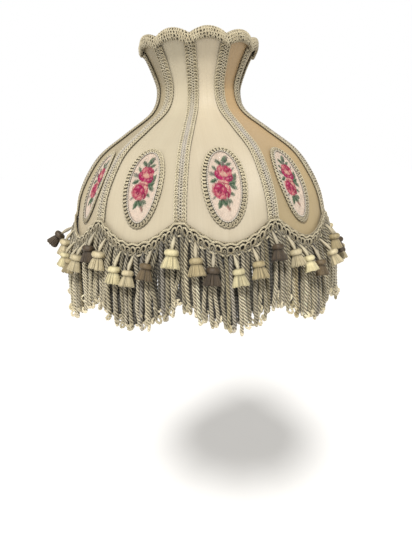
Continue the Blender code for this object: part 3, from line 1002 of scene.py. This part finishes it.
def stitch_tones(x, y):
    """The picture's tone at a stitch, from millimetres across and up."""
    tone = np.broadcast_to(GROUND, (*x.shape, 3)).copy()

    def lay(mask, color):
        tone[mask] = np.broadcast_to(color, tone.shape)[mask]

    twins = [(*leaf[:2], leaf[2] * 0.78, leaf[3] * 0.62, leaf[4] + 0.62, leaf[5]) for leaf in LEAVES]
    for across, up, long, wide, lean, color in (*twins, *LEAVES):
        a, b = leaned(x, y, across, up, long * 1.18, wide * 1.22, lean)
        inside = (np.abs(a) < 1) & (np.abs(b) < 1 - a * a)
        lay(inside, color)
        lay(inside & (b > 0.15), mix(color, LIT_LEAF, 0.42))
        lay(inside & (np.abs(b) < 0.13), color * 0.55)
    for *place, color, shaded in PETALS:
        a, b = leaned(x, y, *place)
        near = np.hypot(a, b) * 1.07
        fold = 0.5 + 0.5 * np.sin(6.5 * a + 4.0 * near)
        petal = mix(color, shaded, 0.55 * fold)
        lay(near < 1.06, mix(shaded, PURPLE, 0.35))
        lay(near < 0.84, petal)
        lay(np.hypot(a + 0.15, b - 0.25) < 0.34, mix(color, GROUND, 0.30))
    return tone


STITCH_PITCH = 0.0014
STITCH_HALF = 0.00088
STITCH_LEAN = math.radians(50)
CANVAS_HALF = (MEDALLION_HALF[0] + 0.0016, MEDALLION_HALF[1] + 0.0016)


def make_stitches(number, material, node):
    """Every stitch of a medallion, each a small leaning diamond with a raised middle."""
    grid = np.meshgrid(np.arange(-18, 19) * STITCH_PITCH, np.arange(-41, 42) * STITCH_PITCH)
    x, y = (part.ravel() for part in grid)
    inside = (x / CANVAS_HALF[0]) ** 2 + (y / CANVAS_HALF[1]) ** 2 < 1
    x = x[inside]
    y = y[inside]
    rng = np.random.default_rng(400 + number)
    tone = stitch_tones(x * 1000, y * 1000)
    tone = tone * rng.uniform(0.84, 1.08, (len(x), 1))
    c, s = math.cos(STITCH_LEAN), math.sin(STITCH_LEAN)
    ends = np.array([(-1, 0), (0, -0.55), (1, 0), (0, 0.55)]) @ np.array([(c, s), (-s, c)])
    ends = ends * STITCH_HALF
    low, _ = on_panel(number, x[:, None] + ends[:, 0], y[:, None] + ends[:, 1], 0.0017)
    crest, _ = on_panel(number, x, y, 0.0024 + 0.00025 * rng.uniform(-1, 1, len(x)))
    foot, _ = on_panel(number, x, y, 0.0012)
    points = np.concatenate([low, crest[:, None], foot[:, None]], 1)
    a = np.arange(4)
    b = (a + 1) % 4
    sides = np.stack([a, b, a * 0 + 4, b, a, a * 0 + 5], -1).reshape(-1, 3)
    tris = sides[None] + (np.arange(len(x)) * 6)[:, None, None]
    pile = Pile()
    none = np.zeros((0, 4), int)
    pile.add(points, tone[:, None], none, tris, np.zeros((0, 2)), np.zeros((tris.size, 2)))
    return piece(f"petit_point_{number:02d}", pile, material, "shade", "petit_point", node)


def make_medallion(number, material):
    node = f"medallion_{number:02d}"
    stitches = make_stitches(number, material, node)
    size, turn = np.meshgrid(np.linspace(1, 0.02, 14), full_turn(72), indexing="ij")
    x = size * CANVAS_HALF[0] * np.cos(turn)
    y = size * CANVAS_HALF[1] * np.sin(turn)
    top, _ = on_panel(number, x, y, 0.0016)
    bottom, _ = on_panel(number, x, y, 0.0010)
    pile = Pile()
    # the canvas is a darker copy of the picture: painted shade between the stitches
    shell(pile, top, bottom, stitch_tones(x * 1000, y * 1000) * 0.8, around=True)
    canvas = piece(f"canvas_{number:02d}", pile, material, "shade", "petit_point", node)


# ---- the crown braid ----

CROWN_PROFILE = (
    (0.0022, -0.0116),
    (0.0040, -0.0120),
    (0.0050, -0.0085),
    (0.0053, -0.0040),
    (0.0048, 0.0004),
    (0.0028, 0.0030),
    (-0.0004, 0.0038),
    (-0.0038, 0.0034),
    (-0.0048, 0.0010),
)


def crown_point(turn, out, up):
    """Points beside the crown ring: this far out from its middle, and up."""
    middle, _ = skin(turn, 1.0 + 0 * turn, -RIB_DEPTH + FABRIC_DEPTH)
    radius = np.hypot(middle[..., 0], middle[..., 1]) + out
    return np.stack([radius * np.cos(turn), radius * np.sin(turn), middle[..., 2] + up], -1)


def crown_profile(at, out):
    """(out, up) of a point this far along the braid's profile and off it."""
    knots = np.array(CROWN_PROFILE)
    lengths = lengths_along(knots)
    read = [spline(np.stack([lengths, knots[:, c]], -1), at) for c in range(2)]
    ahead = [spline(np.stack([lengths, knots[:, c]], -1), at + 0.0002) for c in range(2)]
    dx = ahead[0] - read[0]
    dz = ahead[1] - read[1]
    size = np.hypot(dx, dz)
    return read[0] + out * dz / size, read[1] - out * dx / size, (dz / size, -dx / size)


CROWN_LOOPS = 150
CROWN_CORD = 0.00122
CROWN_FIRST_ROW = 0.0026
CROWN_ROW_PITCH = 0.0046
CROWN_LOOP_REACH = 0.0023
# painted shade per row: darkest on the lowest, outer row under the crown's roll
CROWN_ROW_SHADE = (0.72, 0.88, 1.00, 1.04, 1.00, 0.92)


def lay_crown_row(pile, row, rng):
    """One row of uneven loops, which swing into the rows beside it."""
    steps = 16
    t = np.arange(CROWN_LOOPS * steps) / steps
    share = 2 * np.pi * t / CROWN_LOOPS
    start = row * 2.1
    sway = 1.3 * np.sin(11 * share + 1.7 * row) + np.sin(29 * share + row)
    phase = 2 * np.pi * t + start + sway
    turn = (t + 0.36 * np.sin(phase)) / CROWN_LOOPS * 2 * math.pi
    place = CROWN_FIRST_ROW + CROWN_ROW_PITCH * row
    place = place + CROWN_LOOP_REACH * np.cos(phase) + rng.normal(0, 0.00012, len(t))
    if row == 0:
        place = place - 0.0008 * np.cos(phase / 2)
    rise = 0.0002 + 0.0010 * (0.5 - 0.5 * np.cos(phase + np.pi / 2))
    out, up, way = crown_profile(place, rise)
    normals = way_out(turn) * way[0][:, None]
    normals[:, 2] = way[1]
    tone = mix(BRAID, GIMP, 0.5 + 0.5 * np.sin(23 * share + start)) * 1.24 * CROWN_ROW_SHADE[row]
    tone = tone * rng.uniform(0.80, 1.06, (len(t), 1))
    lay_cord(pile, (crown_point(turn, out, up), normals), CROWN_CORD, tone, closed=True)


def make_crown_braid(material):
    rng = np.random.default_rng(7)
    pile = Pile()
    for row in range(len(CROWN_ROW_SHADE)):
        lay_crown_row(pile, row, rng)
    at, turn = np.meshgrid(np.linspace(0.0010, 0.0265, 24), full_turn(400), indexing="ij")
    out, up, _ = crown_profile(at, -0.0003)
    outer = crown_point(turn, out, up)
    out, up, _ = crown_profile(at, -0.0014)
    # the dark backing is painted shade between the loops
    shell(pile, outer, crown_point(turn, out, up), SHADE_BACKING, around=True)
    return piece("crown_gimp", pile, material, "shade", "crown_trim", "crown_braid")


# ---- the heading ----


def rim_table():
    """Lengths along the scalloped rim and the turns they reach."""
    turns = np.linspace(0, 2 * math.pi, 7201)
    u = across_panel(np.minimum(turns, 2 * math.pi - 1e-9))
    path = out_to(turns, rim_outside(u), heading_top(u))
    return lengths_along(path), turns


RIM_TABLE = rim_table()
RIM_LENGTH = float(RIM_TABLE[0][-1])


def on_heading(run, down, out):
    """Points on the heading: along the rim, down from its top edge and out from its back."""
    turn = np.interp(np.mod(run, RIM_LENGTH), *RIM_TABLE)
    u = across_panel(turn)
    radius = rim_outside(u) + 2 * TOUCH + out
    down = down * (1.06 + 0.20 * (1 - arch(u, RIM_ARCH_POWER)))
    return out_to(turn, radius, heading_top(u) - down), way_out(turn)


SCROLLS = 9 * PANELS


HEADING_PITCH = RIM_LENGTH / SCROLLS
EDGE_CORD = 0.00075
TWIST_CORD = 0.00118
RING_REACH = 0.0042
RING_CORD = 0.00164
BOW_CORD = 0.00130
CRESCENT_REACH = 0.0086


def lay_heading_edge(pile, rng):
    """The fine loops along the top edge, and the cord of two strands under them."""
    steps = 12
    t = np.arange(SCROLLS * 4 * steps) / steps
    phase = 2 * np.pi * t
    run = (t + 0.30 * np.sin(phase)) * HEADING_PITCH / 4
    down = 0.0013 - 0.0016 * np.cos(phase)
    points, normals = on_heading(run, down, 0.0022 + 0.0006 * np.sin(phase))
    tone = mix(GIMP, OLIVE, 0.35) * rng.uniform(0.85, 1.1, (len(t), 1))
    tone = tone[None, :, None]
    tubes(pile, points[None], EDGE_CORD, 7, tone, normals=normals[None], closed=True)

    t = np.arange(SCROLLS * 48) / 48
    for strand in (0, np.pi):
        twist = 2 * np.pi * 5 * t + strand
        down = 0.0028 + 0.0012 * np.cos(2 * np.pi * t) + 0.0007 * np.cos(twist)
        laid = on_heading(t * HEADING_PITCH, down, 0.0034 + 0.0008 * np.sin(twist))
        tone = BRAID * 1.06 * rng.uniform(0.86, 1.1, (len(t), 1))
        lay_cord(pile, laid, TWIST_CORD, tone, closed=True)


def lay_rings(pile, rng):
    """The rings of the scrolls."""
    t = full_turn(28)
    run = ((np.arange(SCROLLS) + 0.5) * HEADING_PITCH)[:, None] + RING_REACH * np.cos(t)
    down = 0.0104 + RING_REACH * np.sin(t)
    laid = on_heading(run, down, 0.0034 + 0.0008 * np.cos(t))
    tone = BRAID * rng.uniform(0.80, 1.08, (SCROLLS, 1))
    # rings painted darker on their lower half: painted shade
    tone = mix(tone[:, None], OLIVE, np.broadcast_to(0.36 + 0.34 * np.sin(t), run.shape))
    lay_cord(pile, laid, RING_CORD, tone, closed=True)


def lay_bows(pile):
    """A wide bow between rings, with a narrow one under it."""
    t = np.linspace(-1, 1, 21)
    starts = (np.arange(SCROLLS) * HEADING_PITCH)[:, None]
    run = starts + RING_REACH * np.sin(t * 1.9) / math.sin(1.9)
    laid = on_heading(run, 0.0066 + 0.0088 * np.abs(t) ** 2.2, 0.0046)
    # painted shade: darker towards the bow's lower ends
    tone = mix(BRAID * 1.03, GIMP * 0.50, np.abs(t))
    lay_cord(pile, laid, BOW_CORD, tone)
    t = np.linspace(-1, 1, 13)
    run = starts + 0.0017 * np.sin(t * 1.8) / math.sin(1.8)
    points, normals = on_heading(run, 0.0106 + 0.0046 * np.abs(t) ** 2, 0.0038)
    # the narrow bow behind is darkened as painted shade
    tubes(pile, points, 0.00085, 8, GIMP * 0.62, normals=normals)


def lay_crescents(pile):
    """Two rows of overlapping crescents along the lower edge."""
    t = np.linspace(-1, 1, 17)
    for shift, low, thick in ((0.0, 0.0184, 0.0020), (0.5, 0.0166, 0.0013)):
        run = ((np.arange(SCROLLS) + shift) * HEADING_PITCH)[:, None] + CRESCENT_REACH * t
        laid = on_heading(run, low - 0.0030 * t**2, 0.0048 - 0.0016 * (shift > 0))
        # painted shade: darker towards each crescent's ends, and on the rear row
        tone = mix(BRAID * (1.12 - 0.7 * shift), GIMP * 0.45, 0.85 * np.abs(t))
        lay_cord(pile, laid, 0.0005 + (thick - 0.0005) * (1 - t**2), tone)


def make_heading(material):
    rng = np.random.default_rng(8)
    pile = Pile()
    # a near-black backing sheet: painted shade in the gaps between the heading's cords
    around = np.linspace(0, RIM_LENGTH, 901)[:-1]
    down, run = np.meshgrid(np.linspace(0.0188, 0.0014, 5), around, indexing="ij")
    top, _ = on_heading(run, down, 0.0014)
    back, _ = on_heading(run, down, 0.0002)
    shell(pile, top, back, SHADE_DARK, around=True)
    lay_heading_edge(pile, rng)
    lay_rings(pile, rng)
    lay_bows(pile)
    lay_crescents(pile)
    return piece("scroll_heading", pile, material, "shade", "scroll_braid", "heading_braid")


# ---- the bullion fringe ----

CORD_PITCH = 0.0086
CORD_RADIUS = 0.0032
CORD_LAY = 0.0168
CORD_TUCK = 0.004
CORD_SECTION = np.array([0.54, 0.88, 1.06, 0.95] * 3)
# painted shade in the grooves between plies; none on each ply's crest
CORD_GROOVE_SHADE = np.array([1.0, 0.86, 0.0, 0.42] * 3)
REAR_SHARE = 1.4
REAR_SET_BACK = -0.0058
CURL_REACH = 0.0036
CURL_RADIUS = 0.0020


def hung_cords(rng, turn, front):
    """Every cord's path, how far down its points hang, and its own phase."""
    turn = turn[:, None]
    front = front[:, None]
    u = across_panel(turn)
    set_back = np.where(front, rng.uniform(-0.0008, 0.0016, turn.shape), REAR_SET_BACK)
    radius = rim_outside(u) + set_back
    drop = FRINGE_DROP + rng.uniform(-0.0080, 0.0050, turn.shape) - 0.006
    drop = drop - np.where(front, 0.0, rng.uniform(0.002, 0.016, turn.shape))
    s = np.linspace(0, 1, 62)
    straight = np.where(front, 1, 0.4)
    lean = rng.normal(0, 0.026, turn.shape) * straight
    bow = rng.normal(0, 0.0022, turn.shape) * straight
    wave = rng.normal(0, 0.0010, turn.shape)
    phase = rng.uniform(0, 6, turn.shape)
    down = -CORD_TUCK + (drop + CORD_TUCK) * s
    sideways = lean * down + bow * np.sin(np.pi * s) + wave * np.sin(9 * s + phase)
    bend = 1 - np.exp(-np.clip(down + CORD_TUCK, 0, 1) / 0.030)
    outward = FRINGE_START + (FRINGE_REACH - FRINGE_START) * bend + 0.0010 * np.sin(5 * s + phase)
    radius = radius + outward
    x = radius * np.cos(turn) - sideways * np.sin(turn)
    y = radius * np.sin(turn) + sideways * np.cos(turn)
    z = heading_top(u) - HEADING_HEIGHT - down - SEAT_HEIGHT
    return np.stack([x, y, z], -1), s, down, phase


def ply_tones(rng, many):
    """The tones of each cord's three plies."""
    base = np.empty((many, 1, 3))
    for i, pick in enumerate(rng.random(many)):
        if pick < 0.86:
            base[i] = mix(IVORY * 1.24, FLAX, 0.8 * rng.random())
        elif pick < 0.94:
            base[i] = mix(IVORY, SILVER, 0.3 + 0.5 * rng.random())
        else:
            base[i] = mix(FLAX, GOLD, 0.5 * rng.random())
    base = base * rng.uniform(0.68, 1.24, (many, 1, 1))
    return base * rng.uniform(0.90, 1.08, (many, 3, 1))


def make_fringe_panel(number, material):
    """The cords below one panel: a row in front, and a fuller row behind it, darkened with painted
    shade.
    """
    rng = np.random.default_rng(500 + number)
    low = np.interp(number * PANEL_TURN, RIM_TABLE[1], RIM_TABLE[0])
    high = np.interp((number + 1) * PANEL_TURN, RIM_TABLE[1], RIM_TABLE[0])
    front = round((high - low) / CORD_PITCH)
    rear = round(front * REAR_SHARE)
    shares = np.concatenate([(np.arange(front) + 0.5) / front, (np.arange(rear) + 0.2) / rear])
    many = len(shares)
    in_front = np.arange(many) < front
    turn = np.interp(low + shares * (high - low), *RIM_TABLE)
    paths, s, down, phase = hung_cords(rng, turn, in_front)
    size = CORD_RADIUS * rng.uniform(0.90, 1.12, (many, 1)) * (1 + 0.05 * np.sin(11 * s + phase))
    size = size * np.where(in_front, 1.0, 1.26)[:, None]
    size = size * (0.62 + 0.38 * np.clip((down + CORD_TUCK) / 0.010, 0, 1))
    size = size * (0.72 + 0.28 * np.clip((1 - s) / 0.06, 0, 1))
    twist = 2 * np.pi * down / (CORD_LAY * rng.uniform(0.88, 1.12, (many, 1))) + phase
    plies = ply_tones(rng, many)
    color = plies[:, None, np.repeat(np.arange(3), 4)] * np.ones((1, len(s), 1, 1))
    color = mix(color, SHADE_DARK, CORD_GROOVE_SHADE * 0.94)
    # painted shade under the heading, and much deeper painted shade on the rear row
    shade = 1 - 0.50 * np.exp(-np.clip(down, 0, 1) / 0.018)
    shade = shade * np.where(in_front, 1.0, 0.17)[:, None]
    pile = Pile()
    color = color * shade[..., None, None]
    tubes(pile, paths, size, 12, color, section=CORD_SECTION, turn=twist)
    add_curls(pile, rng, paths[:, -1], plies[:, :1])
    name = f"bullion_cords_{number:02d}"
    return piece(name, pile, material, "shade", "bullion", "bullion_fringe")


def add_curls(pile, rng, ends, tones):
    """The open curl that each cord's doubled end makes."""
    many = len(ends)
    side = way_out(rng.uniform(0, 2 * np.pi, many))
    drop = unit(np.array((0, 0, -1.0)) + rng.uniform(-0.5, 0.5, (many, 1)) * side)
    normal = unit(np.cross(side, drop))
    steps = 22
    t = np.linspace(0, 1, steps) * rng.uniform(1.45, 1.95, (many, 1)) * np.pi
    reach = CURL_REACH * rng.uniform(0.8, 1.3, (many, 1))
    x = reach * (1 - np.cos(t)) * 0.9
    y = reach * np.sin(t) * 1.1
    points = ends[:, None] + x[..., None] * side[:, None] + y[..., None] * drop[:, None]
    points = points + np.linspace(0, 0.0016, steps)[:, None] * normal[:, None]
    color = tones[:, :, None] * np.ones((1, steps, 8, 1))
    # painted shade in the grooves of the curl's two plies
    color = mix(color, OLIVE, np.array([0.6, 0.1, 0, 0.1] * 2))
    size = CURL_RADIUS * np.linspace(1.15, 0.8, steps)
    section = np.array([0.75, 0.96, 1.04, 0.96] * 2)
    turn = 2 * np.pi * np.linspace(0, 3, steps)
    tubes(pile, points, size, 8, color, section=section, turn=turn)


# ---- the tassels ----

TASSELS = 50
TASSEL_FIRST = 0.084
TASSEL_HEAD = 0.0049
TASSEL_ORDER = "ycbkcybcukcybckycbukcycbkcybckcycuybkybkcyucbkcybc"
TASSEL_SWINGS = {23: 0.55, 24: 1.05, 43: 0.55}
TASSEL_TONES = {
    "c": np.array((0.58, 0.50, 0.32)),
    "y": np.array((0.66, 0.59, 0.36)),
    "b": np.array((0.42, 0.345, 0.195)),
    "u": np.array((0.16, 0.115, 0.060)),
    "k": np.array((0.075, 0.052, 0.030)),
}


def tassel_frame(number, rng):
    """A tassel's top and its ways: down its axis, across it and out."""
    turn = TASSEL_FIRST + 2 * math.pi * number / TASSELS + rng.uniform(-0.015, 0.015)
    u = across_panel(turn)
    outward = way_out(turn)
    across = np.array((-math.sin(turn), math.cos(turn), 0))
    top = outward * (float(rim_outside(np.array(u))) + 0.0068)
    top[2] = float(heading_top(u)) - HEADING_HEIGHT + 0.003 - SEAT_HEIGHT
    swing = TASSEL_SWINGS.get(number, rng.uniform(0.18, 0.36))
    axis = unit(np.array((0, 0, -1.0)) + swing * outward + rng.uniform(-0.12, 0.12) * across)
    x_way = unit(across - axis * (across @ axis))
    return top, outward, axis, x_way, np.cross(axis, x_way)


def make_tassels(group, numbers, material):
    pile = Pile()
    for number in numbers:
        add_tassel(pile, number)
    name = f"tassels_{group:02d}"
    return piece(name, pile, material, "shade", "tassel_yarn", "tassel_row")


def lay_hanger(pile, top, neck, outward, axis, tone):
    """The twist of yarn that a tassel hangs from."""
    s = np.linspace(0, 1, 15)
    start = top + np.array((0, 0, -0.0020))
    middle = start + s[:, None] * (neck - start) + np.outer(0.0022 * np.sin(np.pi * s), outward)
    size = np.interp(s, (0, 0.2, 0.45, 0.7, 1), (0.0009, 0.0020, 0.0031, 0.0024, 0.0012))
    # strands are darker in the grooves between lobes: painted shade
    strands = mix(IVORY, tone, 0.30) * np.array([0.62, 1.06] * 6)[:, None]
    lobes = np.array([0.80, 1.05] * 6)
    tubes(pile, middle[None], size, 12, strands, axes=axis, section=lobes, turn=2.2 * s)


def lay_head(pile, neck, axis, tone, high, grown, number, rng):
    """A tassel's head: a ribbed round wound with yarn."""
    turn = np.linspace(-np.pi / 2, np.pi / 2, 13)
    reach = (0.0034 + 0.0058 * np.cos(turn) ** 0.8) * grown
    middle = neck + np.outer(high * np.sin(turn), axis)
    # painted highlight round the head's widest part, painted shade toward its top and bottom
    lit_and_shaded_head = mix(tone * 0.50, tone * 1.12, np.clip(np.cos(turn), 0, 1))
    rib = np.arange(48)
    fold = 1 + 0.035 * np.cos(rib * np.pi) + 0.03 * np.cos(rib * 0.8 + number)
    color = lit_and_shaded_head[:, None] * rng.uniform(0.86, 1.08, (48, 1))
    tubes(pile, middle[None], reach, 48, color, axes=axis, section=fold, blunt=0.05)


def lay_skirt(pile, base, ways, tone, grown, rng):
    """A tassel's skirt: three rings of yarns, one inside another."""
    axis, x_way, y_way = ways
    s = np.linspace(0, 1, 8)
    spread = (0.0056 + 0.0070 * s**0.7) * grown
    for share, amount in ((1.0, 46), (0.78, 32), (0.5, 18)):
        turn = np.arange(amount) * 2 * np.pi / amount + rng.uniform(-0.05, 0.05, amount)
        length = 0.0165 * grown + rng.uniform(-0.0009, 0.0009, amount)
        reach = spread * share * rng.uniform(0.96, 1.03, (amount, 1))
        at = base + (length[:, None] * s)[..., None] * axis
        at = at + (reach * np.cos(turn)[:, None])[..., None] * x_way
        at = at + 0.74 * (reach * np.sin(turn)[:, None])[..., None] * y_way
        yarn = (tone * rng.uniform(0.58, 1.18, (amount, 1)))[:, None]
        # painted shadow at the top of the skirt, under the head
        shadowed_yarn = mix(yarn * 0.42, yarn, np.clip(s * 3.5, 0, 1))
        tubes(pile, at, 0.00070 + 0.00028 * s, 6, shadowed_yarn[:, :, None], blunt=0.2)


def add_tassel(pile, number):
    rng = np.random.default_rng(600 + number)
    top, outward, axis, x_way, y_way = tassel_frame(number, rng)
    tone = TASSEL_TONES[TASSEL_ORDER[number]] * rng.uniform(0.90, 1.10)
    grown = rng.uniform(0.94, 1.12)
    neck = top + outward * 0.0100 + axis * rng.uniform(0.0240, 0.0290) * 0.96
    high = TASSEL_HEAD * grown
    lay_hanger(pile, top, neck, outward, axis, tone)
    lay_head(pile, neck, axis, tone, high, grown, number, rng)
    lay_skirt(pile, neck + axis * high * 0.75, (axis, x_way, y_way), tone, grown, rng)


# ---- the light, the floor and the camera ----


FLOOR_DROP = 1.1


def make_floor():
    radii = np.array((80.0, 20.0, 6.0, 2.0, 0.5, 0.001))
    upper = radii[:, None, None] * way_out(full_turn(96)) - np.array((0, 0, FLOOR_DROP))
    pile = Pile()
    shell(pile, upper, upper - np.array((0, 0, 0.02)), np.ones(3), around=True)
    obj = bpy.data.objects.new("floor", pile.mesh("floor"))
    obj.data.shade_flat()
    bpy.context.scene.collection.objects.link(obj)
    finish = Finish("floor_matt", 0.9, Emission_Color=(1, 1, 1, 1), Emission_Strength=0.20)
    cloud = finish.noise(finish.place(), 0.7, 2.0)
    finish.color(finish.ramp(cloud, (0.3, 0.86), (0.7, 0.88)))
    obj.data.materials.append(finish.material)
    return obj


def make_light():
    scene = bpy.context.scene
    world = bpy.data.worlds.new("studio")
    scene.world = world
    world.use_nodes = True
    tree = world.node_tree
    soft = tree.nodes["Background"]
    soft.inputs[0].default_value = (1.0, 0.965, 0.90, 1)
    soft.inputs[1].default_value = 0.42
    plain = tree.nodes.new("ShaderNodeBackground")
    plain.inputs[0].default_value = (1, 1, 1, 1)
    plain.inputs[1].default_value = 1.0
    seen = tree.nodes.new("ShaderNodeLightPath")
    both = tree.nodes.new("ShaderNodeMixShader")
    tree.links.new(seen.outputs["Is Camera Ray"], both.inputs[0])
    tree.links.new(soft.outputs[0], both.inputs[1])
    tree.links.new(plain.outputs[0], both.inputs[2])
    tree.links.new(both.outputs[0], tree.nodes["World Output"].inputs[0])
    sun = bpy.data.lights.new("key", "SUN")
    sun.energy = 2.9
    sun.angle = math.radians(12)
    sun.color = (1.0, 0.985, 0.96)
    lamp = bpy.data.objects.new("key", sun)
    scene.collection.objects.link(lamp)
    lamp.rotation_euler = (math.radians(43), 0, math.radians(-20))
    scene.view_settings.view_transform = "Standard"


def make_camera():
    data = bpy.data.cameras.new("camera")
    data.lens = 32.2
    data.clip_start = 0.02
    data.clip_end = 200
    camera = bpy.data.objects.new("camera", data)
    bpy.context.scene.collection.objects.link(camera)
    camera.location = (-0.159, -0.912, -0.139)
    turned_to = (
        Matrix.Rotation(math.radians(-10.21), 4, "Z")
        @ Matrix.Rotation(math.radians(90 - 12.03), 4, "X")
        @ Matrix.Rotation(math.radians(-1.22), 4, "Z")
    )
    camera.rotation_mode = "QUATERNION"
    camera.rotation_quaternion = turned_to.to_quaternion()
    bpy.context.scene.camera = camera


def main():
    make_camera()
    make_light()
    make_floor()
    front = satin("satin_cream", (0.63, 0.56, 0.418), (0.60, 0.525, 0.385), 0.46)
    for number in range(PANELS):
        make_panel(number, front)
    make_lining(satin("lining_satin", (0.74, 0.68, 0.55), (0.68, 0.61, 0.47), 0.5))
    steel = metal("plated_wire", (0.62, 0.60, 0.55), (0.42, 0.39, 0.33), 0.42)
    brass = metal("aged_brass", (0.72, 0.54, 0.26), (0.52, 0.37, 0.16), 0.36)
    tape = plied_yarn("cotton_tape", 1, 0.004, 0.8, 0.0004, 0.3, groove_shade=0.8)
    finish_ribs(steel)
    bound_ring("crown_ring_bound", 1.0, "crown_ring", tape)
    bound_ring("lower_ring_bound", 0.0, "lower_ring", tape)
    make_fitter(brass, steel)
    gimp = plied_yarn("gimp_cord", 2, 0.0028, 0.62, 0.0005, 0.4)
    for number in range(PANELS):
        make_rib_braid(number, gimp)
        make_medallion_braid(number, gimp)
    stitches = wool("petit_point_wool")
    for number in range(PANELS):
        make_medallion(number, stitches)
    make_crown_braid(plied_yarn("crown_gimp_cord", 2, 0.0026, 0.62, 0.0005, 0.4))
    make_heading(plied_yarn("scroll_gimp_cord", 2, 0.0032, 0.58, 0.0006, 0.3, groove_shade=0.25))
    cord = plied_yarn("bullion_yarn", 3, 0.0011, 0.6, 0.0002, 0.45, groove_shade=0.8)
    for number in range(PANELS):
        make_fringe_panel(number, cord)
    yarn = plied_yarn("tassel_silk", 1, 0.0016, 0.5, 0.0002, 0.12, groove_shade=0.85)
    for group in range(5):
        make_tassels(group, range(group * 10, group * 10 + 10), yarn)


main()
